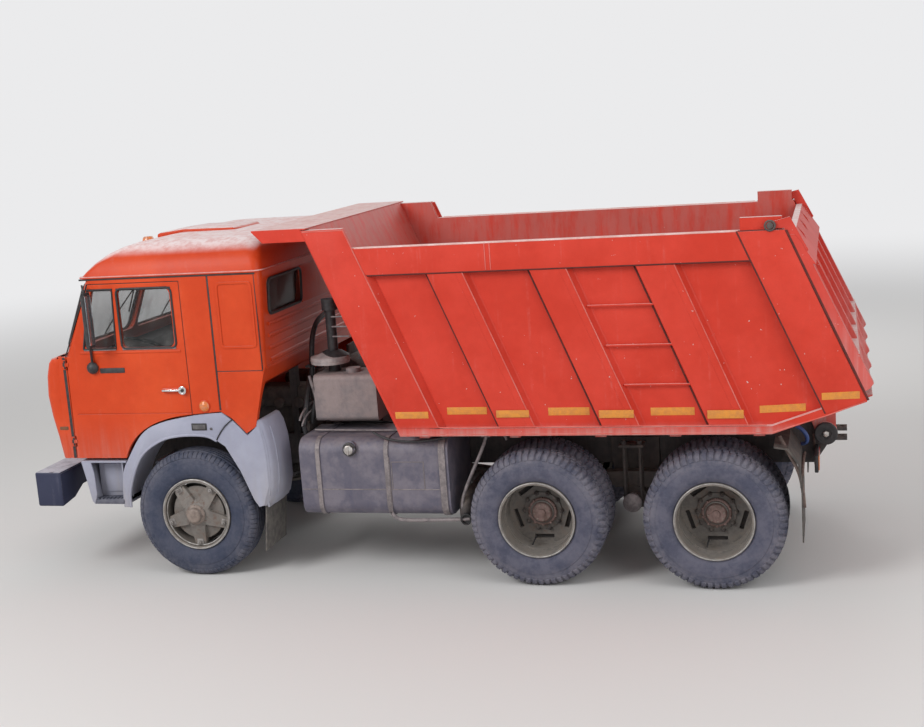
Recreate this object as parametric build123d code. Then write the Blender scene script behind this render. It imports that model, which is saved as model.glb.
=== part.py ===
"""Three-axle tipper truck with a short cab, as separate named pieces, in millimetres.

Everything is drawn with X forward from the front axle, Y to the left and Z up from the road.
Each piece is then shifted, so that the origin lies on the road under the middle of the truck.
"""

import os
from math import atan2, cos, degrees, hypot, radians, sin, sqrt, tan

from build123d import *

# Driving sizes: wheels and their places
WHEELBASE = 2840
BOGIE_SPREAD = 1320
REAR_OVERHANG = 720
NOSE_X = 1400
TYRE_RADIUS = 525
TYRE_WIDTH = 278
RIM_RADIUS = 286
RIM_FLANGE = 10
RIM_WALL = 12
STAR_WEB_RADIUS = 222
TWIN_SLOT_RADIUS = 208
FRONT_WHEEL_Y = 1013
DUAL_Y = 928
DUAL_SPACING = 318
KINGPIN_Y = 880
KINGPIN_RADIUS = 20
STEERING_ARM = 210

# Running gaps between pieces that move against each other
GAP = 6
PIN_GAP = 0.5

# Chassis frame
FRAME_HALF_WIDTH = 430
FRAME_BOTTOM = 765
FRAME_TOP = 1020
FRAME_FLANGE = 80
FRAME_PLATE = 9
FRAME_FRONT_X = 1040
FRAME_REAR_X = -WHEELBASE - BOGIE_SPREAD - REAR_OVERHANG
SUBFRAME_HEIGHT = 90
SUBFRAME_FRONT_X = -1950
PIVOT_X = FRAME_REAR_X - 75
PIVOT_Z = 1022
PIVOT_RADIUS = 45
BOSS_RADIUS = 82
PIVOT_PLATE = 24
BOSS_Y_INNER = FRAME_HALF_WIDTH + PIVOT_PLATE + GAP
BOSS_Y_OUTER = BOSS_Y_INNER + 70
FRONT_LEAF = 16
FRONT_LEAVES = 6
FRONT_SPRING_HALF = 720
FRONT_SPRING_RISE = 99
BALANCE_LEAF = 18
BALANCE_LEAVES = 7
BALANCE_RISE = -70
BALANCE_END = 60
LEAF_WIDTH = 90
TOW_PIN_RADIUS = 20

# Driven axles, engine and gearbox
AXLE_NOSE = 200
AXLE_TAIL = 150
ENGINE_REAR_X = -560
GEARBOX_REAR_X = -1300

# Cab
CAB_HALF_WIDTH = 1170
CAB_WALL = 40
NOSE_CORNER = 60
CAB_REAR_X = -745
CAB_SILL_Z = 1008
BELT_Z = 1855
GUTTER_Z = 2484
ROOF_Z = 2745
DOOR_HINGE_X = 1000
DOOR_REAR_X = -85
DOOR_TOP_Z = 2440
DOOR_HINGE_LEVELS = (1150, 1790)
DOOR_CREASE_Z = 1378
SIDE_SEAM_X = -330
CORNER_SEAM_X = -722
PRESSING = 6
SCREEN_POST = 44
REAR_RIB_LEVELS = (1775, 1870, 1965, 2060)
GRILLE_LEVELS = (1180, 1234, 1288, 1342, 1396)
GRILLE_SLOT = 26
GRILLE_HALF_WIDTH = 690
HATCH_HEIGHT = 48
HINGE_PIN = 6
HINGE_NOTCH = 18
BULKHEAD_X = 1006
GLASS = 7
FLOOR_PLATE = 20
BUNK_Z = 1713
TUNNEL_Z = 1330
FOOTWELL_Z = 1030
BUMPER_HALF_WIDTH = 1200
ARCH_X = -15
ARCH_Z = 560
ARCH_HALF_LENGTH = 630
ARCH_HEIGHT = 655
FENDER_SHEET = 12
FENDER_GAP = 10
STEP_WALL = 14
STEP_FLOOR = 40
FENDER_BEND_X = -700
FLAP_X = -735
FLAP_SHEET = 10
FLAP_LOW_Z = 225
WHEEL_RING_RADIUS = 225

# Bed
BED_HALF_WIDTH = 1250
BED_PANEL_Y = 1192
BED_PANEL = 32
BED_FLOOR_Z = 1200
BED_FLOOR = 12
BED_FRONT_X = -1831
BED_KNEE_X = PIVOT_X + 362
BED_LIP_X = PIVOT_X - 326
BED_LIP_Z = 1440
BED_RAIL_Z = 2640
BED_RAIL_HEIGHT = 205
BED_FRONT_TOP_Z = 2788
BED_FRONT_WALL = 40
FRONT_SLANT = 22.5
REAR_SLANT = 23.6
REAR_CORNER_X = PIVOT_X - 287
REAR_CORNER_Z = 1426
RIB_FRONT_X = -2600
RIB_PITCH = 774
RIB_WIDTH = 328
RIB_COUNT = 3
RIB_BEND = 85
RIB_SINK = 7
RUNG_LEVELS = (1558, 1850, 2144)
RUNG_RADIUS = 8
POST_WIDTH = 350
BEAM_INNER_Y = 352
BEAM_OUTER_Y = 428
VISOR_TIP_X = -775
VISOR_Z = BED_FRONT_TOP_Z + 7
VISOR_SHEET = 10

# Tailgate
GATE_PIN_X = PIVOT_X + 334
GATE_PIN_Z = 2668
GATE_PIN_RADIUS = 14
GATE_PANEL = 44
GATE_RIB = 45
GATE_RIB_WIDTH = 90
GATE_BEAM = 210
GATE_BOTTOM_Z = 1486
GATE_TOP_Z = 2600
GATE_FOOT_CUT = 30.5
ARM_PLATE = 16
CORNER_BLOCK_Y = 1222

# Hoist
HOIST_X = -WHEELBASE - 760
HOIST_Z = 820
HOIST_EYE_X = HOIST_X + 1000
HOIST_EYE_Z = 1140
HOIST_FOOT_RADIUS = 36
HOIST_BARREL_RADIUS = 95
HOIST_BARREL_LENGTH = 800
HOIST_STAGE_RADII = (80, 66, 50)
HOIST_STAGE_STEP = 50

# Left side of the chassis
TANK_FRONT_X = -943
TANK_TYRE_SPACE = 155
TANK_REAR_X = -WHEELBASE + TYRE_RADIUS + TANK_TYRE_SPACE
TANK_BOTTOM_Z = 519
TANK_TOP_Z = 1140
TANK_INNER_Y = 500
TANK_OUTER_Y = 1130
EXHAUST_SPACE = 90
SILENCER_LENGTH = 750
BOTTLE_LENGTH = 540
BOTTLE_RADIUS = 120

# Middle of the road wheels and of the whole truck
AXLE_Z = TYRE_RADIUS
TRUNNION_Z = AXLE_Z
REAR_AXLES_X = (-WHEELBASE, -WHEELBASE - BOGIE_SPREAD)
HOIST_LENGTH = hypot(HOIST_EYE_X - HOIST_X, HOIST_EYE_Z - HOIST_Z)
HOIST_TILT = degrees(atan2(HOIST_EYE_Z - HOIST_Z, HOIST_EYE_X - HOIST_X))


# Shapes that many pieces share
def prism(points, y_from, y_to):
    """Solid between two lengthwise planes, from its side outline of (x, z) points."""
    outline = Polyline(*[(x, y_from, z) for x, z in points], close=True)
    return extrude(make_face(outline), amount=y_to - y_from, dir=(0, 1, 0))


def arched_prism(arch, straight, y_from, y_to):
    """Solid between two lengthwise planes, whose side outline is a smooth arch closed by straight runs."""
    curve = Spline(*[(x, y_from, z) for x, z in arch])
    runs = Polyline(*[(x, y_from, z) for x, z in [arch[-1]] + straight + [arch[0]]])
    return extrude(make_face(curve + runs), amount=y_to - y_from, dir=(0, 1, 0))


def bar(points, x_from, x_to):
    """Solid along the truck, from its cross section of (y, z) points."""
    outline = Polyline(*[(x_from, y, z) for y, z in points], close=True)
    return extrude(make_face(outline), amount=x_to - x_from, dir=(1, 0, 0))


def slab(points, z_from, z_to):
    """Solid between two levels, from its plan of (x, y) points."""
    outline = Polyline(*[(x, y, z_from) for x, y in points], close=True)
    return extrude(make_face(outline), amount=z_to - z_from, dir=(0, 0, 1))


def block(x_from, x_to, y_from, y_to, z_from, z_to):
    """Box by its limits."""
    middle = Pos((x_from + x_to) / 2, (y_from + y_to) / 2, (z_from + z_to) / 2)
    return middle * Box(abs(x_to - x_from), abs(y_to - y_from), abs(z_to - z_from))


def rod(start, end, radius):
    """Round bar between two points."""
    along = Vector(*end) - Vector(*start)
    return Plane(origin=start, z_dir=along) * Cylinder(
        radius, along.length, align=(Align.CENTER, Align.CENTER, Align.MIN))


def turned(points, y=0, x=0, z=0):
    """Solid of revolution about a wheel axis at x and z, from (y, radius) points."""
    outline = Polyline(*[(0, across, radius) for across, radius in points], close=True)
    return Pos(x, y, z) * revolve(make_face(outline), axis=Axis.Y)


def pipe(points, radius, bend):
    """Round tube path with the same bend radius at each corner, as a solid bar."""
    path = FilletPolyline(*points, radius=bend)
    start = Plane(origin=path @ 0, z_dir=path % 0)
    return sweep(start * Circle(radius), path=path)


def other_side(shape):
    """The mirror image on the right side."""
    return mirror(shape, about=Plane.XZ)


def both_sides(shape):
    """A left piece and its mirror image."""
    return shape + other_side(shape)


# Wheels
def tyre(y):
    """Tyre on the truck's left at rest height, open to its rim."""
    half = TYRE_WIDTH / 2
    bead = half - 29
    flange = RIM_RADIUS + RIM_FLANGE + PIN_GAP
    outside = [(-bead, RIM_RADIUS + PIN_GAP), (-bead, flange), (-half, TYRE_RADIUS - 130),
               (-half + 12, TYRE_RADIUS - 22), (-half + 40, TYRE_RADIUS), (half - 40, TYRE_RADIUS),
               (half - 12, TYRE_RADIUS - 22), (half, TYRE_RADIUS - 130), (bead, flange),
               (bead, RIM_RADIUS + PIN_GAP)]
    inside = [(bead - 26, RIM_RADIUS + PIN_GAP), (half - 24, TYRE_RADIUS - 130),
              (half - 50, TYRE_RADIUS - 40),
              (-half + 50, TYRE_RADIUS - 40), (-half + 24, TYRE_RADIUS - 130),
              (26 - bead, RIM_RADIUS + PIN_GAP)]
    return turned(outside + inside, y=y)


def rim_barrel(y):
    """Rim under one tyre, with its two flanges."""
    half = TYRE_WIDTH / 2 - 29 + PIN_GAP
    return turned([(-half - 12, RIM_RADIUS + RIM_FLANGE), (-half, RIM_RADIUS + RIM_FLANGE),
                   (-half, RIM_RADIUS),
                   (half, RIM_RADIUS), (half, RIM_RADIUS + RIM_FLANGE), (half + 12, RIM_RADIUS + RIM_FLANGE),
                   (half + 12, RIM_RADIUS - RIM_WALL), (-half - 12, RIM_RADIUS - RIM_WALL)], y=y)


def front_rim():
    """Front rim with its cast star of five tapered spokes, hub, cap and brake drum."""
    face_y = FRONT_WHEEL_Y + 20
    spoke_root = 95
    spoke_tip = RIM_RADIUS - RIM_WALL + 1
    hub = turned([(face_y - 60, 36), (face_y - 60, 90), (face_y + 50, 128), (face_y + 90, 118),
                  (face_y + 106, 70),
                  (face_y + 142, 62), (face_y + 150, 46), (face_y + 150, 0), (face_y + 40, 0),
                  (face_y + 40, 36)])
    drum = turned([(face_y - 110, 150), (face_y - 110, 215), (face_y - 20, 215), (face_y - 20, 90),
                   (face_y - 40, 90),
                   (face_y - 40, 190), (face_y - 96, 190), (face_y - 96, 150)])
    web = turned([(face_y + 34, 100), (face_y + 26, STAR_WEB_RADIUS), (face_y + 44, STAR_WEB_RADIUS),
                  (face_y + 66, 100)])
    spoke = prism([(-62, spoke_root), (62, spoke_root), (46, spoke_tip), (-46, spoke_tip)], face_y + 30,
                  face_y + 96)
    spoke -= bar([(face_y + 97, spoke_root), (face_y + 97, spoke_tip + 5), (face_y + 66, spoke_tip + 5)], -80,
                 80)
    star = rim_barrel(FRONT_WHEEL_Y) + hub + drum + web
    for step in range(5):
        star += Rot(0, 36 + step * 72, 0) * spoke
    return star


def rear_rim():
    """Twin rear rims on their spider, with the brake drum and the domed hub cap."""
    inner_y = DUAL_Y - DUAL_SPACING / 2
    outer_y = DUAL_Y + DUAL_SPACING / 2
    barrel = RIM_RADIUS - RIM_WALL
    spacer = turned([(inner_y, barrel - 10), (inner_y, barrel), (outer_y, barrel), (outer_y, barrel - 10)])
    disc = turned([(DUAL_Y - 14, 60), (DUAL_Y - 14, barrel - 10), (DUAL_Y + 14, barrel - 10),
                   (DUAL_Y + 14, 60)])
    hub = turned([(DUAL_Y - 150, 50), (DUAL_Y - 150, 100), (DUAL_Y, 150), (DUAL_Y + 24, 146),
                  (DUAL_Y + 30, 98),
                  (DUAL_Y + 58, 90), (DUAL_Y + 66, 70), (DUAL_Y + 66, 0), (DUAL_Y + 20, 0),
                  (DUAL_Y + 20, 50)])
    drum = turned([(DUAL_Y - 240, 190), (DUAL_Y - 240, 215), (DUAL_Y - 8, 215), (DUAL_Y - 8, 190)])
    rim = rim_barrel(inner_y) + rim_barrel(outer_y) + spacer + disc + hub + drum
    for step in range(5):
        slot = Pos(0, DUAL_Y, TWIN_SLOT_RADIUS) * Box(150, 60, 34)
        rim -= Rot(0, 36 + step * 72, 0) * slot
    return rim


def knuckle():
    """Left steering knuckle: yoke on its kingpin, spindle and steering arm."""
    ear_height = 26
    half_boss = 42
    yoke_y = KINGPIN_Y + half_boss + GAP
    lower = AXLE_Z - half_boss - GAP
    upper = AXLE_Z + half_boss + GAP
    pin = rod((0, KINGPIN_Y, lower - ear_height), (0, KINGPIN_Y, upper + ear_height), KINGPIN_RADIUS)
    ears = rod((0, KINGPIN_Y, lower - ear_height), (0, KINGPIN_Y, lower), half_boss)
    ears += rod((0, KINGPIN_Y, upper), (0, KINGPIN_Y, upper + ear_height), half_boss)
    cheeks = block(-half_boss, half_boss, KINGPIN_Y, yoke_y + 14, lower - ear_height, lower)
    cheeks += block(-half_boss, half_boss, KINGPIN_Y, yoke_y + 14, upper, upper + ear_height)
    web = block(-half_boss, half_boss, yoke_y, yoke_y + 14, lower - ear_height, upper + ear_height)
    spindle = rod((0, yoke_y, AXLE_Z), (0, FRONT_WHEEL_Y + 50, AXLE_Z), 36 - PIN_GAP)
    arm = block(-STEERING_ARM, -half_boss + 10, KINGPIN_Y - 16, KINGPIN_Y + 16, lower - ear_height, lower - 4)
    arm += rod((-STEERING_ARM, KINGPIN_Y, lower - ear_height), (-STEERING_ARM, KINGPIN_Y, lower - 4), 24)
    arm += rod((-STEERING_ARM, KINGPIN_Y, lower - 4), (-STEERING_ARM, KINGPIN_Y, lower + 34), 10)
    return pin + ears + cheeks + web + spindle + arm


def tie_rod():
    """Rod between the two steering arms, with an eye over each arm's pin."""
    low = AXLE_Z - 42 - GAP - 4 + 1
    eye_height = 30
    rod_z = low + eye_height / 2
    shape = rod((-STEERING_ARM, -KINGPIN_Y, rod_z), (-STEERING_ARM, KINGPIN_Y, rod_z), 12)
    for side in (1, -1):
        shape += rod((-STEERING_ARM, side * KINGPIN_Y, low),
                     (-STEERING_ARM, side * KINGPIN_Y, low + eye_height), 24)
    for side in (1, -1):
        shape -= rod((-STEERING_ARM, side * KINGPIN_Y, low - 5), (-STEERING_ARM, side * KINGPIN_Y, low + 40),
                     10 + PIN_GAP)
    return shape


# Chassis
def frame_rail():
    """Left channel rail, open to the middle of the truck."""
    outer, plate, inner = FRAME_HALF_WIDTH, FRAME_PLATE, FRAME_HALF_WIDTH - FRAME_FLANGE
    return bar([(outer, FRAME_BOTTOM), (outer, FRAME_TOP), (inner, FRAME_TOP), (inner, FRAME_TOP - plate),
                (outer - plate, FRAME_TOP - plate), (outer - plate, FRAME_BOTTOM + plate),
                (inner, FRAME_BOTTOM + plate), (inner, FRAME_BOTTOM)], FRAME_REAR_X, FRAME_FRONT_X)


def cross_members():
    """Cross members between the rail webs, and the closing beam at the tail."""
    web = FRAME_HALF_WIDTH - FRAME_PLATE
    low, high = FRAME_BOTTOM + FRAME_PLATE, FRAME_TOP - FRAME_PLATE
    members = block(FRAME_FRONT_X - 60, FRAME_FRONT_X, -web, web, low, high)
    for x in (GEARBOX_REAR_X - 100, SUBFRAME_FRONT_X + 200, HOIST_EYE_X + 250, FRAME_REAR_X + 180):
        members += block(x - 35, x + 35, -web, web, low, low + 130)
    members += block(FRAME_REAR_X, FRAME_REAR_X + 12, -web, web, low, high)
    members += rod((HOIST_X, -web, HOIST_Z), (HOIST_X, web, HOIST_Z), HOIST_FOOT_RADIUS)
    return members


def cab_supports():
    """Front pads and the rear portal that the cab stands on."""
    inner = FRAME_HALF_WIDTH - FRAME_FLANGE
    portal_x = CAB_REAR_X + 90
    half = block(860, 960, inner, FRAME_HALF_WIDTH, FRAME_TOP, FOOTWELL_Z)
    half += block(portal_x - 30, portal_x + 30, inner, FRAME_HALF_WIDTH, FRAME_TOP, BUNK_Z - 70)
    beam = block(portal_x - 30, portal_x + 30, -FRAME_HALF_WIDTH, FRAME_HALF_WIDTH, BUNK_Z - 70, BUNK_Z)
    return both_sides(half) + beam


def tipper_subframe():
    """Box rails on the frame, the pivot brackets and the cross tube that the bed turns on."""
    rear_x = FRAME_REAR_X + 10
    rail = block(rear_x, SUBFRAME_FRONT_X, BEAM_INNER_Y, FRAME_HALF_WIDTH, FRAME_TOP,
                 FRAME_TOP + SUBFRAME_HEIGHT)
    front = FRAME_REAR_X + 240
    plate = prism([(front, FRAME_BOTTOM + 60), (front, FRAME_TOP + 30),
                   (PIVOT_X + 60, FRAME_TOP + SUBFRAME_HEIGHT - 10),
                   (PIVOT_X - 40, FRAME_TOP + 70), (PIVOT_X - 70, PIVOT_Z - 20), (PIVOT_X - 30, PIVOT_Z - 75),
                   (FRAME_REAR_X, FRAME_BOTTOM + 20)], FRAME_HALF_WIDTH, FRAME_HALF_WIDTH + PIVOT_PLATE)
    tube = rod((PIVOT_X, -BOSS_Y_OUTER - 12, PIVOT_Z), (PIVOT_X, BOSS_Y_OUTER + 12, PIVOT_Z), PIVOT_RADIUS)
    return both_sides(rail + plate) + tube


def front_axle_beam():
    """Forged beam with a dropped middle and a boss for each kingpin."""
    half_boss = 42
    outline = [(0, AXLE_Z - 95), (520, AXLE_Z - 95), (700, AXLE_Z - 34), (KINGPIN_Y, AXLE_Z - 34),
               (KINGPIN_Y, AXLE_Z + 34), (680, AXLE_Z + 34), (500, AXLE_Z - 5), (0, AXLE_Z - 5)]
    half = bar(outline, -45, 45)
    half += rod((0, KINGPIN_Y, AXLE_Z - half_boss), (0, KINGPIN_Y, AXLE_Z + half_boss), half_boss)
    half -= rod((0, KINGPIN_Y, AXLE_Z - 100), (0, KINGPIN_Y, AXLE_Z + 100), KINGPIN_RADIUS + PIN_GAP)
    return both_sides(half)


def arc_rise(half_length, rise, offset):
    """Height of a spring's arc over its middle, at a distance along the truck."""
    radius = (half_length ** 2 + rise ** 2) / (2 * abs(rise))
    height = radius - sqrt(radius ** 2 - offset ** 2)
    return height if rise > 0 else -height


def leaf_stack(x, y, top, half_length, rise, leaves, leaf, share):
    """Leaves on one arc under each other, the longest on top and each next one shorter by a share."""
    stack_of_leaves = None
    for number in range(leaves):
        reach = half_length * (1 - share * number)
        level = top - number * leaf
        end_z = level + arc_rise(half_length, rise, reach)
        upper = ThreePointArc((x - reach, y, end_z), (x, y, level), (x + reach, y, end_z))
        lower = Pos(0, 0, -leaf) * upper
        face = make_face([upper, Line(upper @ 1, lower @ 1), lower, Line(upper @ 0, lower @ 0)])
        sheet = Pos(0, -LEAF_WIDTH / 2, 0) * extrude(face, amount=LEAF_WIDTH, dir=(0, 1, 0))
        stack_of_leaves = sheet if stack_of_leaves is None else stack_of_leaves + sheet
    return stack_of_leaves


def leaf_springs():
    """Front springs with their hangers and clamp plates."""
    spring_y = FRAME_HALF_WIDTH - FRAME_FLANGE / 2
    saddle = AXLE_Z - 5
    top = saddle + FRONT_LEAF * FRONT_LEAVES
    eye_low = top - FRONT_LEAF + FRONT_SPRING_RISE
    front = leaf_stack(0, spring_y, top, FRONT_SPRING_HALF, FRONT_SPRING_RISE, FRONT_LEAVES, FRONT_LEAF, 0.16)
    front += block(-80, 80, spring_y - 60, spring_y + 60, saddle - 108, saddle - 90)
    for x in (-FRONT_SPRING_HALF, FRONT_SPRING_HALF):
        front += block(x - 30, x + 30, spring_y - LEAF_WIDTH / 2, spring_y + LEAF_WIDTH / 2, eye_low - 24,
                       FRAME_BOTTOM)
    return both_sides(front)


def balance_top():
    """Top of the bogie spring over the trunnion."""
    return TRUNNION_Z + 80 + BALANCE_LEAF * BALANCE_LEAVES


def balance_spring_low(offset):
    """Underside of the longest bogie leaf at a distance from the trunnion."""
    return balance_top() - BALANCE_LEAF + arc_rise(BOGIE_SPREAD / 2 + BALANCE_END, BALANCE_RISE, offset)


def bogie():
    """Trunnion stubs and brackets, and the balance springs whose ends rest on the two driven axles."""
    middle_x = -WHEELBASE - BOGIE_SPREAD / 2
    spring_y = FRAME_HALF_WIDTH + 90
    tie_low, tie_high = TRUNNION_Z - 120, TRUNNION_Z - 70
    half = rod((middle_x, FRAME_HALF_WIDTH, TRUNNION_Z), (middle_x, spring_y + 110, TRUNNION_Z), 55)
    half += prism([(middle_x - 190, FRAME_TOP - 40), (middle_x - 190, FRAME_BOTTOM + 20),
                   (middle_x - 60, tie_low),
                   (middle_x + 60, tie_low), (middle_x + 190, FRAME_BOTTOM + 20),
                   (middle_x + 190, FRAME_TOP - 40)], FRAME_HALF_WIDTH, FRAME_HALF_WIDTH + 22)
    half += block(middle_x - 60, middle_x + 60, 0, FRAME_HALF_WIDTH, tie_low, tie_high)
    half += rod((middle_x, spring_y - 55, TRUNNION_Z), (middle_x, spring_y + 60, TRUNNION_Z), 92)
    half += leaf_stack(middle_x, spring_y, balance_top(), BOGIE_SPREAD / 2 + BALANCE_END, BALANCE_RISE,
                       BALANCE_LEAVES, BALANCE_LEAF, 0.13)
    return both_sides(half)


def drive_axle(x):
    """Driven axle: banjo with its dome, tubes and the spindles inside the hubs."""
    banjo = turned([(-AXLE_TAIL, 0), (-AXLE_TAIL, 120), (-80, 205), (80, 205), (165, 90), (AXLE_NOSE, 80),
                    (AXLE_NOSE, 0)])
    banjo = Pos(x, 0, AXLE_Z) * Rot(0, 0, -90) * banjo
    drum_y = DUAL_Y - 240
    tube = rod((x, 0, AXLE_Z), (x, drum_y - GAP, AXLE_Z), 72)
    tube += rod((x, drum_y - 60, AXLE_Z), (x, drum_y - GAP, AXLE_Z), 150)
    tube += rod((x, 0, AXLE_Z), (x, DUAL_Y + 12, AXLE_Z), 50 - PIN_GAP)
    seat_y = FRAME_HALF_WIDTH + 90
    seat_half = 30
    seat_z = balance_spring_low(BOGIE_SPREAD / 2 + seat_half) - 0.3
    tube += block(x - seat_half, x + seat_half, seat_y - 55, seat_y + 55, AXLE_Z + 40, seat_z)
    return banjo + both_sides(tube)


def driveline():
    """Gearbox behind the engine and the shafts to both driven axles."""
    box = bar([(-200, 620), (200, 620), (230, 760), (170, 960), (-170, 960), (-230, 760)], GEARBOX_REAR_X,
              ENGINE_REAR_X)
    box = chamfer(box.edges().filter_by(Axis.X), 30)
    joint_z = 700
    nose_x = REAR_AXLES_X[0] + AXLE_NOSE
    shaft = rod((GEARBOX_REAR_X, 0, joint_z), (GEARBOX_REAR_X - 80, 0, joint_z), 60)
    shaft += rod((GEARBOX_REAR_X - 60, 0, joint_z), (nose_x + 60, 0, AXLE_Z), 42)
    shaft += rod((nose_x + 80, 0, AXLE_Z), (nose_x, 0, AXLE_Z), 60)
    link_z = AXLE_Z + 30
    link = rod((REAR_AXLES_X[0] - AXLE_TAIL, 0, link_z), (REAR_AXLES_X[1] + AXLE_NOSE, 0, link_z), 40)
    return box + shaft + link


def engine():
    """The engine's mass as one plain block between the rails."""
    inner = FRAME_HALF_WIDTH - FRAME_FLANGE
    block_shape = bar([(-inner + 40, 640), (inner - 40, 640), (inner - 40, 1090), (inner - 130, 1240),
                       (-inner + 130, 1240), (-inner + 40, 1090)], ENGINE_REAR_X, 450)
    mounts = block(330, 400, -FRAME_HALF_WIDTH + FRAME_PLATE, FRAME_HALF_WIDTH - FRAME_PLATE, 840, 880)
    mounts += block(-480, -410, -FRAME_HALF_WIDTH + FRAME_PLATE, FRAME_HALF_WIDTH - FRAME_PLATE, 840, 880)
    return block_shape + mounts


def fuel_tank():
    """Round-cornered tank on the left with its brackets, straps, cap and the rail under it."""
    corners = [(TANK_INNER_Y, TANK_BOTTOM_Z), (TANK_OUTER_Y, TANK_BOTTOM_Z), (TANK_OUTER_Y, TANK_TOP_Z),
               (TANK_INNER_Y, TANK_TOP_Z)]
    tank = bar(corners, TANK_REAR_X, TANK_FRONT_X)
    tank = fillet(tank.edges().filter_by(Axis.X), 110)
    for x in (TANK_FRONT_X - 155, (TANK_FRONT_X + TANK_REAR_X) / 2 - 112, TANK_REAR_X + 52):
        strap = offset_bar(corners, 6, x - 20, x + 20, 116)
        tank += strap
        tank += block(x - 40, x + 40, FRAME_HALF_WIDTH, TANK_INNER_Y + 20, TANK_BOTTOM_Z + 230,
                      FRAME_TOP - 30)
    cap_x = TANK_FRONT_X - 430
    tank += rod((cap_x, TANK_OUTER_Y - 60, TANK_TOP_Z - 80), (cap_x, TANK_OUTER_Y + 22, TANK_TOP_Z - 58), 52)
    return tank


def offset_bar(corners, thickness, x_from, x_to, corner_radius):
    """Strap that wraps a four-cornered section, standing out by its thickness."""
    (y_low, z_low), (y_high, z_high) = corners[0], corners[2]
    band = block(x_from, x_to, y_low - thickness, y_high + thickness, z_low - thickness, z_high + thickness)
    return fillet(band.edges().filter_by(Axis.X), corner_radius)


def hydraulic_tank():
    """Oil tank behind the cab on the left, on a bracket over the rail."""
    tank = block(-1530, -1005, 500, 850, 1222, 1597)
    tank = fillet(tank.edges().filter_by(Axis.X), 40)
    tank += rod((-1300, 700, 1597), (-1300, 700, 1630), 60)
    tank += block(-1480, -1060, FRAME_HALF_WIDTH - FRAME_FLANGE, 700, 1190, 1222)
    tank += block(-1480, -1420, FRAME_HALF_WIDTH - FRAME_FLANGE, FRAME_HALF_WIDTH, FRAME_TOP, 1222)
    tank += block(-1120, -1060, FRAME_HALF_WIDTH - FRAME_FLANGE, FRAME_HALF_WIDTH, FRAME_TOP, 1222)
    return tank


def air_intake():
    """Intake stack behind the cab: mushroom top, duct, bell and the cleaner canister."""
    x, y = -1120, 640
    stack = rod((x, y, 1725), (x, y, 2100), 42)
    stack += Pos(x, y, 2140) * Cylinder(64, 90)
    stack += Pos(x, y, 1745) * Cone(128, 60, 40)
    stack += rod((x, y, 1660), (x, y, 1725), 128)
    stack += rod((x, y, 1597), (x, y, 1660), 50)
    return stack


def exhaust():
    """Silencer under the left rail and the tail pipe that turns down behind the tank."""
    tail_x = TANK_REAR_X - EXHAUST_SPACE
    rear_x = tail_x + 250
    silencer = rod((rear_x + SILENCER_LENGTH, 330, 600), (rear_x, 330, 600), 110)
    silencer += block(rear_x + 340, rear_x + 400, 300, FRAME_HALF_WIDTH - FRAME_PLATE, 640, FRAME_BOTTOM)
    tail = pipe([(rear_x + 50, 330, 600), (tail_x, 330, 640), (tail_x, 1040, 640), (tail_x, 1040, 480)], 48,
                90)
    return silencer + tail


def air_reservoirs():
    """Three air reservoirs and the battery box along the right rail."""
    rail_y = -FRAME_HALF_WIDTH
    box = block(-1560, -960, rail_y - 560, rail_y - 60, 560, 1010)
    box = fillet(box.edges().filter_by(Axis.X), 25)
    hangers = block(-1500, -1440, rail_y - 70, rail_y, 780, 940) + block(-1080, -1020, rail_y - 70, rail_y,
                                                                         780, 940)
    battery = box + hangers
    bottles = None
    rear = TANK_REAR_X - 20
    middle = rear + BOTTLE_LENGTH / 2
    for y, z in ((rail_y - 190, 900), (rail_y - 190, 640), (rail_y - 460, 770)):
        bottle = rod((rear, y, z), (rear + BOTTLE_LENGTH, y, z), BOTTLE_RADIUS)
        bottles = bottle if bottles is None else bottles + bottle
    straps = block(middle - 50, middle + 10, rail_y - 460, rail_y, 760, 790)
    straps += block(middle - 50, middle + 10, rail_y - 200, rail_y - 180, 640, 900)
    return battery + bottles + straps


def bumper():
    """Front bumper: a hollow pressing with wrapped ends, lamp recesses and its two brackets."""
    low, high = 601, 892
    plan = [(1161, -BUMPER_HALF_WIDTH), (1290, -BUMPER_HALF_WIDTH), (NOSE_X, -BUMPER_HALF_WIDTH + 160),
            (NOSE_X, BUMPER_HALF_WIDTH - 160), (1290, BUMPER_HALF_WIDTH), (1161, BUMPER_HALF_WIDTH)]
    sheet = 14
    inside = [(1161 - 10, -BUMPER_HALF_WIDTH + sheet), (1284, -BUMPER_HALF_WIDTH + sheet),
              (NOSE_X - sheet, -BUMPER_HALF_WIDTH + 166), (NOSE_X - sheet, BUMPER_HALF_WIDTH - 166),
              (1284, BUMPER_HALF_WIDTH - sheet), (1161 - 10, BUMPER_HALF_WIDTH - sheet)]
    shell = slab(plan, low, high) - slab(inside, low - 10, high - sheet)
    for side in (1, -1):
        shell -= block(NOSE_X - 40, NOSE_X + 40, side * 820, side * 1000, 690, 830)
        shell += block(FRAME_FRONT_X, NOSE_X - sheet, side * (FRAME_HALF_WIDTH - 80), side * FRAME_HALF_WIDTH,
                       780, 860)
        end = [(side * 700, 720), (side * (BUMPER_HALF_WIDTH - sheet + 2), low),
               (side * (BUMPER_HALF_WIDTH - sheet + 2), high - sheet + 2), (side * 700, high - sheet + 2)]
        shell += bar(end, 1161, 1161 + sheet)
    tow_y = 480
    for side in (1, -1):
        shell += block(NOSE_X - sheet - 30, NOSE_X - sheet, side * (tow_y - 60), side * (tow_y + 60), 640,
                       760)
    return shell


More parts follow.
